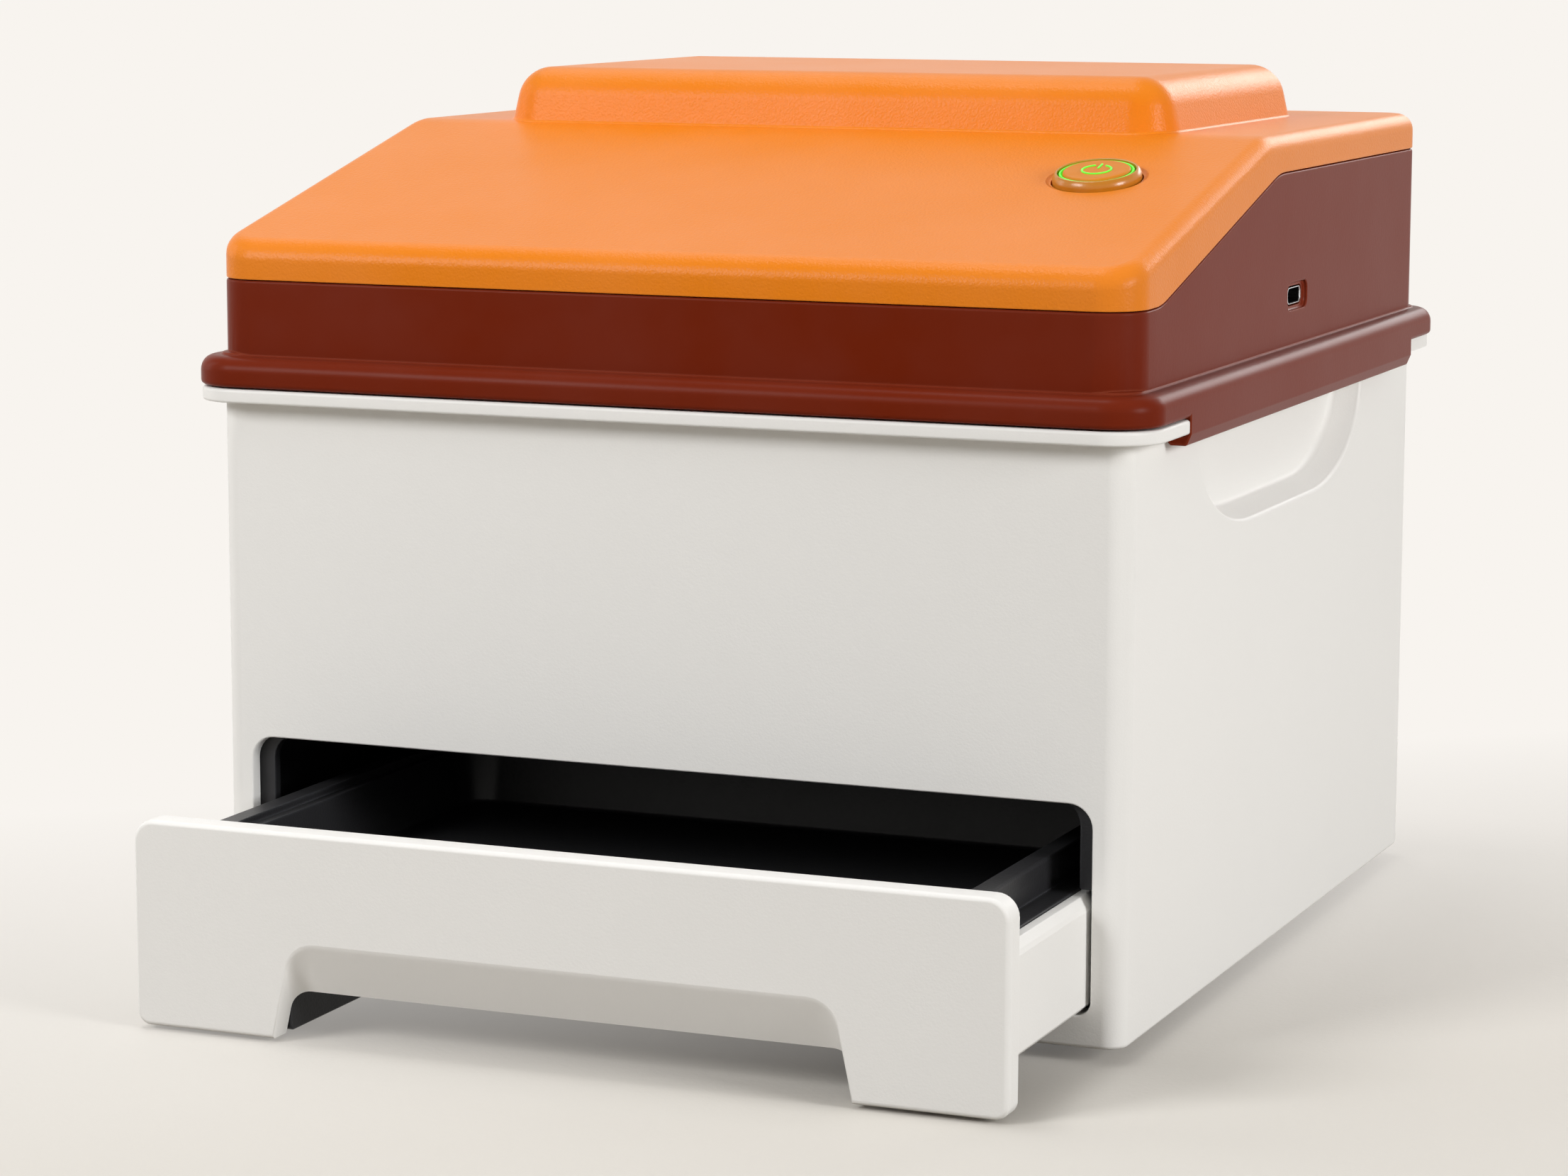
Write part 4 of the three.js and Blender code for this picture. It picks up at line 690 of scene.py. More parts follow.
def circuit_board():
    """Green board with paler copper tracks under its lacquer and bright pads."""
    material, tree, shader = new_material("circuit_board", Coat_Weight=0.6)
    place = place_on_piece(tree)
    base = use_group(tree, SOFT_MOTTLE, Colour=colour("1c5c3c"), patch_size=0.01, change=0.05)
    tracks = add_node(tree, "TexBrick", {
        "Vector": place, "Scale": 260.0, "Mortar Size": 0.03, "Color1": (0, 0, 0, 1),
        "Color2": (0, 0, 0, 1), "Mortar": (1, 1, 1, 1),
    })
    spots = add_node(tree, "TexVoronoi", {"Vector": place, "Scale": 330.0, "Randomness": 0.3})
    pad = math_node(tree, "LESS_THAN", spots.outputs["Distance"], 0.13)
    tracked = blended(tree, times(tree, tracks.outputs["Fac"], 0.35), base,
                      colour("5fa36f"))
    finished = blended(tree, pad, tracked, colour("c9b06a"))
    height = plus(tree, tracks.outputs["Fac"], pad)
    dress(tree, shader, Base_Color=finished, Metallic=times(tree, pad, 0.9),
          Roughness=minus(tree, 0.5, times(tree, pad, 0.2)),
          Normal=relief(tree, height, 0.5, 0.00004))
    return material


# The second colour of each moulded plastic is its paler painted edge highlight.
WHITE = moulded_plastic("white_satin_plastic", "f5f4f1", "f9f8f6", gloss=0.42, cell=0.00045,
                        depth=0.000012, change=0.006, patch=0.06, dust=0.03, dust_tone="cfcbc4",
                        Specular_IOR_Level=0.3)
ORANGE = moulded_plastic("orange_grained_plastic", "eb8520", "f5963c", gloss=0.3, cell=0.0005,
                         depth=0.00004, change=0.014, patch=0.03, dust=0.03, dust_tone="f4b070",
                         Specular_IOR_Level=0.12)
MAROON = moulded_plastic("maroon_gloss_plastic", "722612", "a4553d", gloss=0.31, cell=0.0009,
                         depth=0.000008, edge=0.0006, edge_share=0.5, change=0.03, patch=0.03,
                         dust=0.03, dust_tone="a07a6c", Specular_IOR_Level=0.045)
BLACK = moulded_plastic("black_satin_plastic", "2a2a2c", "545559", gloss=0.34, cell=0.0005,
                        depth=0.00002, rough_change=0.1, edge_share=0.55, change=0.05, patch=0.03,
                        dust=0.05, dust_tone="77787a", Specular_IOR_Level=0.25)
RUBBER = moulded_plastic("black_rubber", "1b1b1c", "343436", gloss=0.78, cell=0.0004,
                         depth=0.00006, rough_change=0.1, change=0.06, patch=0.008, dust=0.15,
                         dust_tone="8b8a88")
AMBER = moulded_plastic("amber_button_plastic", "d98428", "e29440", gloss=0.4, cell=0.0004,
                        depth=0.00001, rough_change=0.05, change=0.02, patch=0.004, dust=0.02,
                        dust_tone="f0c890", Specular_IOR_Level=0.1)
AMBER_RING = moulded_plastic("amber_ring_plastic", "bf7d22", "e0b060", gloss=0.26, cell=0.0004,
                             depth=0.000008, rough_change=0.05, edge=0.0004, edge_share=0.5,
                             change=0.02, patch=0.004, dust=0.02)
BLUE_WRAP = moulded_plastic("blue_shrink_wrap", "2b5c9b", "5b86bd", gloss=0.3, cell=0.006,
                            depth=0.0002, rough_change=0.1, change=0.03, patch=0.02, dust=0.05)
CABLE = moulded_plastic("grey_cable_jacket", "6c6e72", "909296", gloss=0.55, cell=0.0006,
                        depth=0.00004, rough_change=0.1, change=0.05, patch=0.01, dust=0.1)
STEEL = bare_metal("turned_steel", "b9bcc0", "7f8286", gloss=0.24, stretch=MARKS_ALONG_Y)
ALUMINIUM = bare_metal("satin_aluminium", "c6c9cc", "9a9da1", gloss=0.36, stretch=MARKS_ALONG_X)
SOCKET = socket_metal_shaded_inside("socket_steel_painted_shade", "d5d7da", "0b0b0c", (HEAD_X - 1.0) * MM)
GREEN_LIGHT = lit_plastic("green_lit_plastic", "37d81a", "6ff040", 0.6)
CLEAR_GLASS = clear_glass("optical_glass", "eef4f4", 0.006)
VIOLET_GLASS = clear_glass("violet_filter_glass", "4a3a86", 0.004)
BOARD = circuit_board()

FINISHES = {
    "black_plastic": BLACK, "black_rubber": RUBBER, "steel": STEEL, "aluminium": ALUMINIUM,
    "clear_glass": CLEAR_GLASS, "violet_glass": VIOLET_GLASS, "circuit_board": BOARD,
    "blue_wrap": BLUE_WRAP, "grey_cable": CABLE, "white_plastic": WHITE,
    "orange_plastic": ORANGE, "maroon_plastic": MAROON, "amber_metal": AMBER_RING,
    "amber_plastic": AMBER, "green_light": GREEN_LIGHT,
}


def finish_solids():
    """The finish of every solid, some of which are shown as they are."""
    slots = {part["node"]: part["material_slot"] for part in frame["record"]["subparts"]}
    for node, solid in frame["nodes"].items():
        material = FINISHES[slots[node]]
        if not solid.data.materials:
            solid.data.materials.append(material)
        for holder in solid.material_slots:
            holder.material = material


# White bin

def grip_ring(side, x, inset, grow, top):
    """The outline of a hand grip as a ring at x, with its straight side at the top."""
    half = GRIP_HALF_LENGTH + grow - inset
    low = GRIP_FOOT_Z - grow + inset
    wide, high = GRIP_END_WIDTH + grow - inset, GRIP_END_HEIGHT + grow - inset
    right = arc((half - wide, low + high), (wide, high), -90, 0, 2 * ROUND_STEPS)
    outline = right + [(half, top), (-half, top)] + [(-y, z) for y, z in reversed(right)]
    return across_x(outline, side * x)


def grip_recess(side):
    """The hollow of a grip with a rounded lip, drafted walls and a filleted floor."""
    top = RIM_BOTTOM - HAIR
    floor = BIN_X - GRIP_DEPTH
    rings = [grip_ring(side, BIN_X + 1, -GRIP_LIP, 0, top)]
    for outward, deep in lip_levels(GRIP_LIP):
        rings.append(grip_ring(side, BIN_X - (deep - HAIR), -outward, 0, top))
    for above, inward in lip_levels(GRIP_FILLET, 5):
        inset = GRIP_DRAFT + inward - GRIP_FILLET / 3
        rings.append(grip_ring(side, floor + above, inset, 0, top))
    return loft(rings)


def grip_pocket(side):
    """The wall of a grip's cup, before its hollow is cut."""
    top = RIM_BOTTOM + OVERRUN
    floor = BIN_X - GRIP_DEPTH
    rings = [grip_ring(side, x, inset, 2, top) for x, inset in (
        (BIN_X - 1.3, 0), (floor - 0.8, 1.9), (floor - 1.8, 2.4), (floor - 2, 3.2))]
    return loft(rings)


PAD_PLACES = [(x * (BIN_X - PAD_INSET), y * (BIN_Y - PAD_INSET)) for x, y in CORNERS]


def make_bin():
    outer = stack(BIN_X, -BIN_Y, BIN_Y, BIN_CORNER,
                  rounding(0.8, 0, 4, down=True) + [(0, RIM_TOP - 0.6)])
    rim = stack(RIM_X, -RIM_Y, RIM_Y, RIM_CORNER,
                rounding(0.5, RIM_BOTTOM, 3, down=True) + rounding(0.6, RIM_TOP, 4))
    inner_corner = BIN_CORNER - BIN_WALL
    inner_x, inner_y = BIN_X - BIN_WALL, BIN_Y - BIN_WALL
    hollow = stack(inner_x, -inner_y, inner_y, inner_corner, [
        (0.4, 2.6), (0, 3), (0, RIM_TOP - 0.5), (-0.15, RIM_TOP - 0.15), (-0.5, RIM_TOP + HAIR),
        (-0.5, RIM_TOP + OVERRUN),
    ])
    sill_back = -BIN_Y + 6
    sill = block(-inner_x - 1, inner_x + 1, -BIN_Y + 1.3, sill_back, 1.3, SILL_Z)
    corners = [
        (-OPENING_X, SILL_Z, OPENING_FOOT_CORNER), (OPENING_X, SILL_Z, OPENING_FOOT_CORNER),
        (OPENING_X, OPENING_TOP, OPENING_CORNER), (-OPENING_X, OPENING_TOP, OPENING_CORNER),
    ]
    rings = [across_y(rounded_outline(corners, LIP), -BIN_Y - OVERRUN)]
    for outward, deep in lip_levels(LIP):
        rings.append(across_y(rounded_outline(corners, outward), -BIN_Y + deep - HAIR))
    rings.append(across_y(rounded_outline(corners), sill_back + OVERRUN))
    opening = loft(rings)
    notch_x = HEAD_X + BEAD_PROUD - 1.6
    notches = [block(side * notch_x, side * (RIM_X + OVERRUN), -HOOK_HALF_LENGTH - 0.3,
                     RIM_Y + OVERRUN, RIM_BOTTOM - OVERRUN, RIM_TOP + OVERRUN)
               for side in (-1, 1)]
    slot_half = SKID_HALF + 0.4
    slots = [block(side * SKID_X - slot_half, side * SKID_X + slot_half, -BIN_Y - OVERRUN,
                   SKID_BACK + CLOSE_TRAVEL + 0.4, -OVERRUN, SILL_Z + OVERRUN)
             for side in (-1, 1)]
    recesses = [pin(x, y, -OVERRUN, 1, PAD_RADIUS + 0.3, 48) for x, y in PAD_PLACES]
    steps = added(rim) + removed(hollow) + added(sill, grip_pocket(-1), grip_pocket(1))
    steps += removed(opening, *notches, grip_recess(-1), grip_recess(1), *slots, *recesses)
    mesh = carved(outer, steps)
    new_piece("white_bin", mesh, "bin", ["bin_shell", "grip_cup_left", "grip_cup_right"],
              "white_plastic")


def make_pads():
    top = 0.8
    profile = [(0, TABLE_Z)]
    for inset, rise in ((0.8, 0), (0.4, 0.08), (0.1, 0.4), (0, 0.8)):
        profile.append((PAD_RADIUS - inset, TABLE_Z + rise))
    profile += [(PAD_RADIUS, top - 0.3), (PAD_RADIUS - 0.3, top), (0, top)]
    for (x, y), corner in zip(PAD_PLACES, CORNER_NAMES):
        mesh = mesh_of(turned(profile, 48, x, y))
        new_piece(f"pad_{corner}", mesh, "bin", [f"foot_pad_{corner}"], "black_rubber")


def make_trim():
    """Black bezel behind the opening, with softened inner edges."""
    outer, wide, narrow, foot, step_z, top = 85.2, 82.9, 80, 6.1, 27.7, 46.5
    front = -BIN_Y + BIN_WALL + 0.2
    outline = [
        (-outer, foot, 0), (-wide, foot, 0.01), (-wide, step_z, 0.6), (-narrow, step_z, 0.6),
        (-narrow, OPENING_TOP, OPENING_CORNER), (narrow, OPENING_TOP, OPENING_CORNER),
        (narrow, step_z, 0.6), (wide, step_z, 0.6), (wide, foot, 0.01), (outer, foot, 0),
        (outer, top, 0), (-outer, top, 0),
    ]
    rings = []
    for inset, y in ((0.4, front), (0.12, front + 0.12), (0, front + 0.4), (0, front + 1.8),
                     (0.12, front + 2.08), (0.4, front + 2.2)):
        rings.append(across_y(rounded_outline(outline, -inset, 6), y))
    mesh = mesh_of(loft(rings))
    new_piece("opening_bezel", mesh, "bin", ["opening_trim"], "black_plastic")


# Drawer

def arch_ring(share, grow, y):
    """The outline of the finger arch at y, from its outer (0) to its inner (1) shape."""
    half = ARCH_TOP_X + (ARCH_INNER_X - ARCH_TOP_X) * share
    height = ARCH_TOP_Z + (ARCH_INNER_Z - ARCH_TOP_Z) * share
    corner = ARCH_CORNER + (ARCH_INNER_CORNER - ARCH_CORNER) * share
    foot, below = ARCH_FOOT_X + 1.2, FRONT_BOTTOM - 0.4
    return across_y(rounded_outline([
        (-foot - 2.8, below - 1.6, 0), (foot + 2.8, below - 1.6, 0), (foot, below, 1.6),
        (half, height, corner), (-half, height, corner), (-foot, below, 1.6),
    ], grow, 10), y)


def front_screw_holes(y, depth, reach):
    """The holes of the two front screws, about a place y."""
    turn = Matrix.Rotation(math.radians(-90), 4, "X")
    return [moved(pin(0, 0, -depth, reach, 1.3), Matrix.Translation((x, y, FRONT_SCREW_Z)) @ turn)
            for x in (-FRONT_SCREW_X, FRONT_SCREW_X)]


def make_drawer_front():
    face = DRAWER_BACK - FRONT_THICKNESS
    corners = [(-FRONT_X, FRONT_BOTTOM, 2.5), (FRONT_X, FRONT_BOTTOM, 2.5),
               (FRONT_X, FRONT_TOP, 4), (-FRONT_X, FRONT_TOP, 4)]
    rings = []
    for inset, depth in rounding(FRONT_EDGE, 0, 5, down=True):
        rings.append(across_y(rounded_outline(corners, -inset), face + depth))
    for inset, drop in rounding(0.4, 0, 3):
        rings.append(across_y(rounded_outline(corners, -inset), DRAWER_BACK + drop))
    cutter = [arch_ring(0, ARCH_LIP, face - OVERRUN)]
    for outward, deep in lip_levels(ARCH_LIP, 5):
        depth = deep - HAIR
        cutter.append(arch_ring(max(depth, 0) / FRONT_THICKNESS, outward, face + depth))
    for outward, depth in ((0, -0.5), (0.12, -0.15), (0.5, HAIR), (0.5, OVERRUN)):
        cutter.append(arch_ring(1, outward, DRAWER_BACK + depth))
    holes = front_screw_holes(DRAWER_BACK, 2.6, 2)
    mesh = carved(loft(rings), removed(loft(cutter), *holes))
    new_piece("drawer_panel", mesh, "drawer", ["drawer_front"], "white_plastic")


def make_carrier():
    half, low, top = 82.3, 6.4, 27
    front, rear = -133.5, 31.5
    profile = [
        (-half, low + 1.2, 0.5), (-half + 1.2, low, 0.5), (half - 1.2, low, 0.5),
        (half, low + 1.2, 0.5), (half, top - 2.5, 0.3), (half - 0.3, top - 1.6, 0.3),
        (half - 1.2, top, 0.25), (-half + 1.2, top, 0.25), (-half + 0.3, top - 1.6, 0.3),
        (-half, top - 2.5, 0.3),
    ]
    outline = rounded_outline(profile, 0, 3)
    wall, floor, tab_half = 2.9, 8.8, 30
    inner = half - wall
    divider = TRAY_BACK + 0.2
    bay = block(-inner, inner, front + 1.6, divider, floor, top + OVERRUN)
    front_step = block(-inner, inner, front - OVERRUN, front + 3.6, top - 1.6, top + OVERRUN)
    rear_bay = stack(inner, divider + wall, rear - wall, 2.5,
                     [(1, floor), (0.3, floor + 0.3), (0, floor + 1), (0, top + OVERRUN)])
    ledges = [block(*sorted((side * (inner - 2.2), side * (inner + 1.4))), front + 0.8,
                    divider + 1.4, top - 3.6, top - 1.6) for side in (-1, 1)]
    tab = soft_block(-tab_half, tab_half, rear - 4, rear, low - 2.8, low + 1.2, 0.6)
    groove_half = SKID_HALF + 0.2
    grooves = [block(side * SKID_X - groove_half, side * SKID_X + groove_half, front - OVERRUN,
                     SKID_BACK + 0.2, low - OVERRUN, low + 1.4) for side in (-1, 1)]
    holes = front_screw_holes(front + 0.8, 3, 3)
    steps = removed(bay, rear_bay) + added(*ledges, tab) + removed(front_step, *grooves, *holes)
    mesh = carved(loft([across_y(outline, front), across_y(outline, rear)]), steps)
    new_piece("drawer_box", mesh, "drawer", ["drawer_carrier"], "white_plastic")


def make_skids():
    low, high, bevel = -1.7, 7.6, 0.2
    full = rounded_outline([
        (SKID_FRONT, low, 1.2), (SKID_BACK, low, 3), (SKID_BACK, high, 0.4),
        (SKID_FRONT, high, 0.4),
    ], 0, 5)
    small = rounded_outline([
        (SKID_FRONT + bevel, low + bevel, 1.0), (SKID_BACK - bevel, low + bevel, 2.8),
        (SKID_BACK - bevel, high - bevel, 0.3), (SKID_FRONT + bevel, high - bevel, 0.3),
    ], 0, 5)
    for side, name in ((-1, "left"), (1, "right")):
        x0, x1 = side * SKID_X - SKID_HALF, side * SKID_X + SKID_HALF
        rings = [across_x(small, x0), across_x(full, x0 + bevel), across_x(full, x1 - bevel),
                 across_x(small, x1)]
        mesh = mesh_of(loft(rings))
        new_piece(f"drawer_runner_{name}", mesh, "drawer", [f"drawer_skid_{name}"],
                  "black_plastic")


def make_tray():
    flange_x, flange_bottom, flange_top = 79.2, 25.6, 27.4
    rim_x, rim_top, floor_top = 74.8, 33.4, 21.2
    inside = flange_top - 0.9
    shelf = rim_top - STEP_DEPTH
    well_x, well_front, well_back = 69, TRAY_FRONT + 3.6, TRAY_BACK - 10.2
    flange = stack(flange_x, TRAY_FRONT, TRAY_BACK, 3, [
        (0, flange_bottom), (0, flange_top - 0.3), (0.09, flange_top - 0.09),
        (0.3, flange_top)], steps=5)
    rim = stack(rim_x, TRAY_FRONT, TRAY_BACK - 4.4, 3,
                [(0, inside)] + rounding(0.5, rim_top, 4), steps=5)
    under = stack(well_x, well_front, well_back, 8, [
        (4, floor_top - 1.8), (1.2, floor_top - 1.5), (0.2, floor_top - 0.2), (-1.8, inside)])
    cavity = stack(well_x, well_front, well_back, 8, [
        (2.8, floor_top), (2.4, floor_top + 0.08), (2.12, floor_top + 0.35),
        (1.95, floor_top + 0.8), (0, shelf - 0.35), (-0.12, shelf - 0.1),
        (-0.35, shelf + HAIR), (-0.35, rim_top + OVERRUN)])
    step = stack(well_x, well_front, well_back, 8, [
        (-STEP_WIDTH, shelf), (-STEP_WIDTH, rim_top - 0.3), (-STEP_WIDTH - 0.1, rim_top - 0.08),
        (-STEP_WIDTH - 0.3, rim_top + HAIR), (-STEP_WIDTH - 0.3, rim_top + OVERRUN)])
    steps = added(rim, under) + removed(cavity, step)
    mesh = carved(flange, steps)
    new_piece("black_tray", mesh, "tray", ["sample_tray"], "black_plastic")


# Head unit

POST_PLACES = [(x * (HEAD_X - 9), y * (HEAD_Y - 10.5)) for x, y in CORNERS]


def usb_ring(size, x, grow=0):
    """The rounded outline of a part of the inlet, (length, height), as a ring at x."""
    half_length, half_height = size[0] / 2, size[1] / 2
    corners = rectangle(USB_Y - half_length, USB_Y + half_length, USB_Z - half_height,
                        USB_Z + half_height, half_height * 0.7)
    return across_x(rounded_outline(corners, grow, 6), x)


def hook(side):
    outer, bottom, top = HEAD_X + BEAD_PROUD, HOOK_BOTTOM, HEAD_BOTTOM + 0.9
    profile = [
        (HOOK_LIP_X, bottom + 0.55, 0.2), (HOOK_LIP_X + 0.55, bottom, 0.3),
        (outer - 0.9, bottom, 0.5), (outer, bottom + 2.1, 0.7), (outer, top, 0), (HOOK_X, top, 0),
        (HOOK_X, bottom + 1.7, 0.25), (HOOK_LIP_X, bottom + 1.7, 0.3),
    ]
    outline = rounded_outline(profile, 0, 3)
    bevel = 0.25
    small = rounded_outline(profile, -bevel, 3)
    rings = [small, outline, outline, small]
    places = [-HOOK_HALF_LENGTH, bevel - HOOK_HALF_LENGTH, HOOK_HALF_LENGTH - bevel,
              HOOK_HALF_LENGTH]
    placed = [across_y([(side * x, z) for x, z in ring], y) for ring, y in zip(rings, places)]
    return loft(placed)


def make_head_base():
    rows = rows_about(PARTING_START_Y, PARTING_SOFTNESS, 4)[1:]
    rows += rows_about(PARTING_END_Y, PARTING_SOFTNESS, 6)
    walls = stack(HEAD_X, -HEAD_Y, HEAD_Y, HEAD_CORNER,
                  [(0, HEAD_BOTTOM)] + rounding(PARTING_EDGE, parting_z, 4), rows)
    bead = stack(HEAD_X + BEAD_PROUD, -HEAD_Y - BEAD_PROUD, HEAD_Y + BEAD_PROUD, BEAD_CORNER,
                 rounding(0.9, HEAD_BOTTOM, 4, down=True)
                 + rounding(BEAD_ROUND, BEAD_TOP - BEAD_SHOULDER)
                 + [(3.75, BEAD_TOP - 0.12), (4.0, BEAD_TOP + 0.02), (4.13, BEAD_TOP + 0.25),
                    (5, BEAD_TOP + 0.5)])
    inner_y = HEAD_Y - HEAD_WALL
    hollow = stack(HEAD_X - HEAD_WALL, -inner_y, inner_y, HEAD_CORNER - HEAD_WALL,
                   [(0, HEAD_FLOOR_TOP), (0, PARTING_REAR + OVERRUN)])
    sunk = HEAD_FLOOR_TOP - 1.2
    pedestal = block(75.8, 88.6, USB_Y - 9, USB_Y + 9, sunk, USB_Z - USB_SHELL[1] / 2 - 2)
    view_x, view_y = 68, 43
    aperture = stack(view_x, TRAY_Y - view_y, TRAY_Y + view_y, 4, [
        (-0.5, HEAD_BOTTOM - OVERRUN), (-0.5, HEAD_BOTTOM - HAIR), (-0.15, HEAD_BOTTOM + 0.15),
        (0, HEAD_BOTTOM + 0.5), (0, HEAD_FLOOR_TOP + OVERRUN)])
    recess_steps = ((0.35, -OVERRUN), (0.35, -HAIR), (0.1, 0.1), (0, 0.35), (0, 0.5),
                    (-0.2, USB_DEPTH))
    recess = loft([usb_ring(USB_RECESS, HEAD_X - depth, grow) for grow, depth in recess_steps])
    socket = loft([usb_ring(USB_HOLE, x) for x in (HEAD_X - 4.4, HEAD_X + OVERRUN)])
    below = HEAD_BOTTOM - OVERRUN
    bores = [pin(x, y, below, HEAD_FLOOR_TOP + OVERRUN, 1.8) for x, y in POST_PLACES]
    sinks = [pin(x, y, below, HEAD_BOTTOM + 1.5, 3.1, 32) for x, y in POST_PLACES]
    screw_places, peg_places = [(8, 76), (74, 22)], [(8, 22), (74, 76)]
    boss_top = 117
    bosses = [pin(x, y, sunk, boss_top, 2.6) for x, y in screw_places + peg_places]
    pegs = [pin(x, y, sunk + 1, boss_top + 2.9, 1) for x, y in peg_places]
    screw_holes = [pin(x, y, sunk + 0.8, boss_top + 4, 1.2) for x, y in screw_places]
    steps = added(bead) + removed(hollow) + added(pedestal, hook(-1), hook(1), *bosses, *pegs)
    steps += removed(aperture, recess, socket, *bores, *sinks, *screw_holes)
    mesh = carved(walls, steps)
    new_piece("maroon_base", mesh, "head", ["head_base"], "maroon_plastic", 25)


BUTTON_PLACE = (BUTTON_X, BUTTON_Y, COVER_TOP - COVER_SLOPE * (COVER_FOLD_Y - BUTTON_Y))
BUTTON_SEAT = Matrix.Translation(BUTTON_PLACE) @ Matrix.Rotation(math.atan(COVER_SLOPE), 4, "X")


def cover_body(inset):
    rows = sorted(rows_about(PARTING_START_Y, PARTING_SOFTNESS, 4)[1:]
                  + rows_about(COVER_FOLD_Y, COVER_SOFTNESS, 6)
                  + rows_about(PARTING_END_Y, PARTING_SOFTNESS, 4))
    top = rounding(COVER_EDGE - inset, lambda y: cover_z(y) - inset)
    if inset:
        levels = [(0, lambda y: parting_z(y) - OVERRUN)] + top
    else:
        levels = [(edge, lambda y, rise=rise: parting_z(y) + SEAM + rise)
                  for edge, rise in ((0.3, 0), (0.09, 0.09), (0, 0.3))] + top
    deep = HEAD_Y - inset
    return stack(HEAD_X - inset, -deep, deep, HEAD_CORNER - inset, levels, rows)


def hump_body(inset):
    rows = [HUMP_FRONT + HUMP_CORNER + 0.4 * i for i in range(1, 4)]
    lean = math.radians(HUMP_LEAN)
    wall = HUMP_TOP - COVER_TOP - HUMP_EDGE * (1 - math.sin(lean))
    edge = [(level + wall * math.tan(lean), height) for level, height in
            rounding(HUMP_EDGE - inset, HUMP_TOP - inset, 10, lean=HUMP_LEAN)]
    if inset:
        base = [(0, COVER_TOP - COVER_EDGE - inset), (0, COVER_TOP)]
    else:
        base = [(-HUMP_CREASE - 0.6, lambda y: cover_z(y) - 0.5)]
        for outward, rise in lip_levels(HUMP_CREASE):
            inward = rise * math.tan(lean) - outward
            base.append((inward, lambda y, rise=rise: cover_z(y) - HAIR + rise))
    return stack(HUMP_X - inset, HUMP_FRONT + inset, HUMP_BACK - inset, HUMP_CORNER - inset,
                 base + edge, rows, steps=10)


def make_cover():
    posts = [pin(x, y, HEAD_FLOOR_TOP + 0.3, cover_z(y) - 1.25, 3.5, 32) for x, y in POST_PLACES]
    bores = [pin(x, y, HEAD_FLOOR_TOP - OVERRUN, HEAD_BOTTOM + 15.5, 1.7) for x, y in POST_PLACES]
    hole = moved(pin(0, 0, -COVER_WALL - 4, 2, 8.55, 96), BUTTON_SEAT)
    dish = moved(turned([(0, -0.4), (8.7, -0.4), (9.1, -0.28), (9.4, -0.05), (9.55, HAIR),
                         (9.55, 2), (0, 2)]), BUTTON_SEAT)
    steps = added(hump_body(0)) + removed(cover_body(COVER_WALL), hump_body(COVER_WALL))
    steps += added(*posts) + removed(*bores, hole, dish)
    mesh = carved(cover_body(0), steps)
    new_piece("orange_cover", mesh, "head", ["head_cover"], "orange_plastic", 40)


# Power button, in the frame of its seat on the slope

def seated(name, body, ride_on, node, slot, sharp=35):
    new_piece(name, mesh_of(moved(body, BUTTON_SEAT)), ride_on, [node], slot, sharp)


def swept_stroke(points, width, low, high):
    """A thin flat stroke with round ends along (x, y) points."""
    half = width / 2
    left, right = [], []
    for i, point in enumerate(points):
        here = Vector(point)
        along = Vector(points[min(i + 1, len(points) - 1)]) - Vector(points[max(i - 1, 0)])
        side = Vector((-along.y, along.x)).normalized() * half
        left.append(here + side)
        right.append(here - side)

    def cap(centre, start):
        first = math.degrees(math.atan2(start.y - centre.y, start.x - centre.x))
        return [Vector(p) for p in arc(centre, half, first, first - 180, 8)[1:-1]]

    end = cap(Vector(points[-1]), left[-1])
    begin = cap(Vector(points[0]), right[0])
    outline = left + end + right[::-1] + begin
    edge = 0.06
    centre = [Vector(p) for p in outline]
    rings = []
    for z, shrink in ((low, 0), (high - edge, 0), (high, edge)):
        ring = []
        for i, point in enumerate(centre):
            before, after = centre[i - 1], centre[(i + 1) % len(centre)]
            along = (after - before).normalized()
            inward = Vector((along.y, -along.x))
            ring.append((point.x + inward.x * shrink, point.y + inward.y * shrink, z))
        rings.append(ring)
    return loft(rings)


def make_button():
    bezel = [(7.93, -9), (7.93, -2.65), (8.25, -2.65), (8.25, 0.2), (8.22, 0.45), (8.1, 0.8),
             (7.9, 1.15), (7.7, 1.4), (7.55, 1.5), (7.42, 1.5), (7.34, 1.42)]
    seated("button_rim", tube(7.3, bezel), "head", "button_bezel", "amber_metal", 50)
    ring = [(6.94, -1.7), (6.94, 1.17), (6.89, 1.26), (6.8, 1.3), (6.7, 1.3), (6.63, 1.26)]
    seated("lit_ring", tube(6.59, ring), "head", "button_light_ring", "green_light")
    cap = [(0, -6.1), (1.8, -6.1), (2, -5.9), (2, -1.7), (6.3, -1.7), (6.3, 1.1), (6.23, 1.35),
           (6.05, 1.52), (5.8, 1.6), (5.3, 1.6), (4.7, 1.56), (3.5, 1.51), (0, 1.48)]
    seated("press_cap", turned(cap), "power_button", "button_cap", "amber_plastic")
    radius, first, last = 2.7, 90 + 24, 90 + 337
    arc_points = [(radius * math.cos(math.radians(a)), radius * math.sin(math.radians(a)))
                  for a in range(first, last, 8)]
    bar_foot, bar_step = 0.95, 0.3
    bar_points = [(0, bar_foot + bar_step * i) for i in range(9)]
    for part, points in (("ring", arc_points), ("bar", bar_points)):
        seated(f"power_sign_{part}", swept_stroke(points, width=0.36, low=1.52, high=1.7),
               "power_button", f"button_icon_{part}", "green_light")


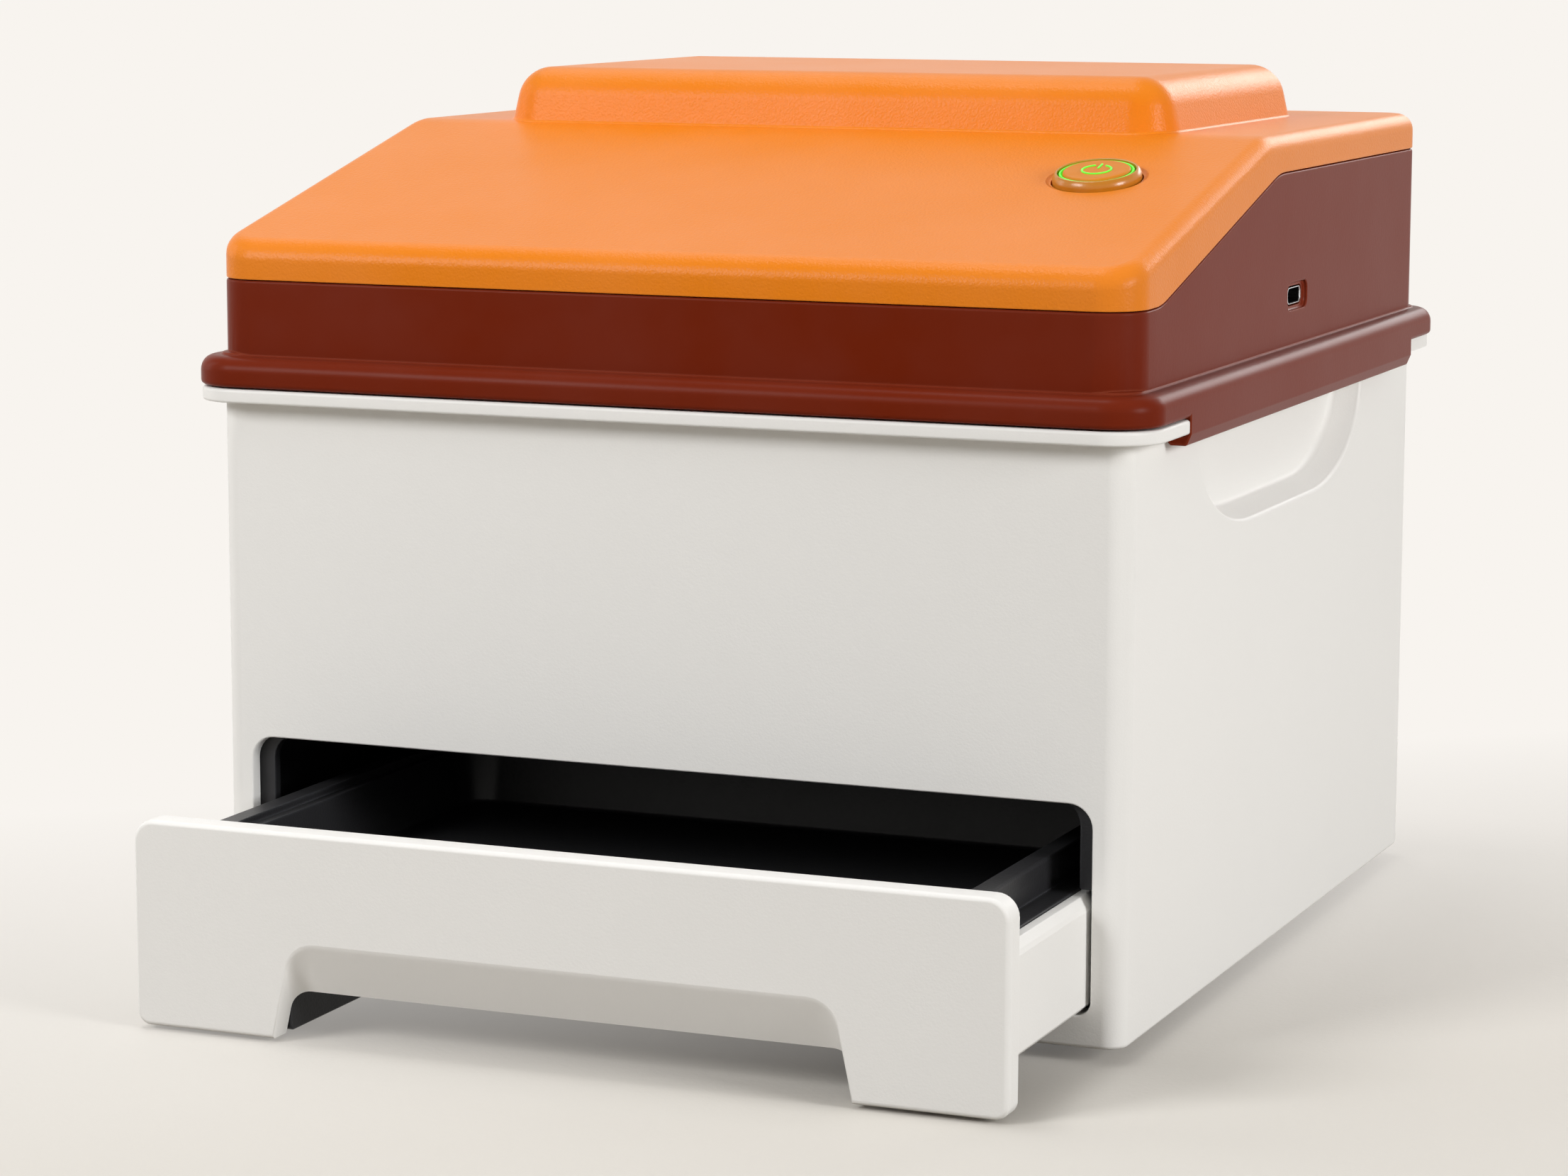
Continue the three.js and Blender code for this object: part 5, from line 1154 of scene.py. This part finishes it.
def make_usb():
    face = HEAD_X - USB_DEPTH
    shell = [usb_ring(USB_SHELL, face - depth, grow)
             for grow, depth in ((0, USB_LENGTH), (0, 0.15), (-0.05, 0.04), (-0.12, 0))]
    bore = [usb_ring(USB_BORE, face - depth, grow) for grow, depth in (
        (0, USB_LENGTH - 0.3), (0, 0.3), (0.08, 0.06), (0.14, -HAIR), (0.14, -OVERRUN))]
    mesh = carved(loft(shell), removed(loft(bore)))
    new_piece("inlet_shell", mesh, "head", ["usb_shell"], "steel", material=SOCKET)
    x0 = face - USB_LENGTH + 0.4
    half_length, half_height, proud = 3.3, 0.35, 0.03
    tongue = soft_block(x0, x0 + 4.6, USB_Y - half_length, USB_Y + half_length,
                        USB_Z - half_height, USB_Z + half_height, 0.12)
    first, pitch, width, count = USB_Y - 2.75, 0.5, 0.25, 12
    bars = [block(x0 + 0.6, x0 + 4.1, first + pitch * i, first + width + pitch * i,
                  USB_Z - half_height - proud, USB_Z + half_height + proud)
            for i in range(count)]
    mesh = carved(tongue, added(*bars))
    new_piece("inlet_tongue", mesh, "head", ["usb_tongue"], "black_plastic")


# Room, lights and camera

# The paper where it fades out, where it is seen, and as it lights the box
PAPER_WHITE = "f8f4ef"
PAPER_SEEN = "dcd8d1"
PAPER_LIT = "8f887e"
ROOM_LIGHT = 0.27


def seen_share(tree):
    """One for rays of the camera and for those that show the room in metal or glass."""
    rays = add_node(tree, "LightPath")
    total = plus(tree, rays.outputs["Is Camera Ray"], rays.outputs["Is Glossy Ray"])
    return plus(tree, total, rays.outputs["Is Transmission Ray"], clamp=True)


def make_floor():
    """A pale sweep: floor, a wide round and a wall behind. Where it is seen it fades to
    plain white at the back and away from the box; it also lifts towards the left, a
    painted light that makes the floor brighter on that side."""
    half_width, front, back, bend, top = 4, -3.0, 1.4, 0.9, 3.5
    profile = [(front, 0.0)] + arc((back, bend), bend, -90, 0, 16) + [(back + bend, top)]
    points, faces = [], []
    for y, z in profile:
        points += [(x, y, z + TABLE_Z * MM) for x in (-half_width, half_width)]
    for i in range(len(profile) - 1):
        faces.append((2 * i, 2 * i + 1, 2 * i + 3, 2 * i + 2))
    mesh = bpy.data.meshes.new("pale_sweep")
    mesh.from_pydata(points, [], faces)
    floor = in_scene("pale_sweep", mesh)
    for face in mesh.polygons:
        face.use_smooth = True
    material, tree, shader = new_material("pale_paper", Roughness=0.75)
    place = place_on_piece(tree)
    seen = seen_share(tree)
    base = use_group(tree, SOFT_MOTTLE, Colour=colour(PAPER_SEEN), patch_size=0.12, change=0.006)
    paper = blended(tree, seen, colour(PAPER_LIT), base)
    fibres = relief(tree, noise(tree, 900.0, 4.0), 1.0, 0.00005)
    dress(tree, shader, Base_Color=paper, Normal=fibres)
    apart = add_node(tree, "SeparateXYZ", {0: place})
    # The slant along X is painted light: the floor is lifted towards white on the left.
    across = times(tree, apart.outputs["X"], 0.8)
    backdrop_fade_and_painted_light = ranged(tree, minus(tree, apart.outputs["Y"], across), -0.19, 0.18)
    length = add_node(tree, "VectorMath", {0: place}, operation="LENGTH").outputs["Value"]
    far = math_node(tree, "MAXIMUM", backdrop_fade_and_painted_light, ranged(tree, length, 0.35, 0.95))
    share = times(tree, far, seen)
    lift = add_node(tree, "Emission", {"Color": colour(PAPER_WHITE), "Strength": 1.0})
    mix = add_node(tree, "MixShader", {0: share, 1: shader.outputs[0], 2: lift.outputs[0]})
    tree.links.new(mix.outputs[0], tree.nodes["Material Output"].inputs["Surface"])
    mesh.materials.append(material)


def make_world():
    """Soft light from all around. The camera, metal and glass see the pale paper there,
    up to a darker ceiling."""
    world = bpy.data.worlds.new("studio")
    world.use_nodes = True
    tree = world.node_tree
    backdrop = tree.nodes["Background"]
    backdrop.inputs["Color"].default_value = colour(PAPER_WHITE)
    apart = add_node(tree, "SeparateXYZ", {0: add_node(tree, "TexCoord").outputs["Generated"]})
    ceiling = ranged(tree, apart.outputs["Z"], 0.3, 0.65, 1.0 - ROOM_LIGHT, 0.0)
    seen = times(tree, seen_share(tree), ceiling)
    strength = plus(tree, seen, ROOM_LIGHT)
    tree.links.new(strength, backdrop.inputs["Strength"])
    bpy.context.scene.world = world


# Name, place, width and height, and watts
LAMPS = [
    ("front_soft", (-0.58, -0.95, 0.66), 0.42, 0.42, 7.6),
    ("right_soft", (1.4, -0.36, 0.5), 0.44, 0.44, 12.4),
    ("top_soft", (-0.25, -0.1, 1.5), 0.35, 0.35, 4.6),
    ("rear_high_soft", (-0.5, 0.5, 1.3), 0.75, 0.75, 3.4),
    ("rear_strip", (0.3, 1.25, 0.55), 0.7, 0.28, 3),
    ("left_strip", (-1.2, -0.1, 0.5), 0.25, 0.8, 1.5),
]


def make_lights():
    middle = Vector((0, 0, 0.08))
    for name, place, width, height, watts in LAMPS:
        lamp = bpy.data.lights.new(name, "AREA")
        lamp.shape = "RECTANGLE"
        lamp.size = width
        lamp.size_y = height
        lamp.energy = watts
        holder = in_scene(name, lamp)
        holder.location = place
        holder.rotation_euler = (middle - Vector(place)).to_track_quat("-Z", "Y").to_euler()


def make_camera():
    """The photograph's camera, as solved from the straight edges of the box."""
    place = (0.316445, -0.798911, 0.196055)
    yaw, pitch, roll = -0.39280529, -0.15349438, 0.00205309
    ahead = Vector((math.sin(yaw) * math.cos(pitch), math.cos(yaw) * math.cos(pitch),
                    math.sin(pitch)))
    right = ahead.cross(Vector((0, 0, 1))).normalized()
    above = right.cross(ahead)
    rolled_right = math.cos(roll) * right + math.sin(roll) * above
    rolled_above = -math.sin(roll) * right + math.cos(roll) * above
    turn = Matrix((rolled_right, rolled_above, -ahead)).transposed()
    view = bpy.data.cameras.new("photo_view")
    view.sensor_fit = "HORIZONTAL"
    view.sensor_width = 36
    view.lens = 99.52
    holder = in_scene("photo_view", view)
    holder.matrix_world = Matrix.Translation(place) @ turn.to_4x4()
    bpy.context.scene.camera = holder


make_camera()
finish_solids()
make_bin()
make_pads()
make_trim()
make_drawer_front()
make_carrier()
make_skids()
make_tray()
make_head_base()
make_cover()
make_button()
make_usb()
make_floor()
make_world()
make_lights()

bpy.context.scene.view_settings.view_transform = "Standard"
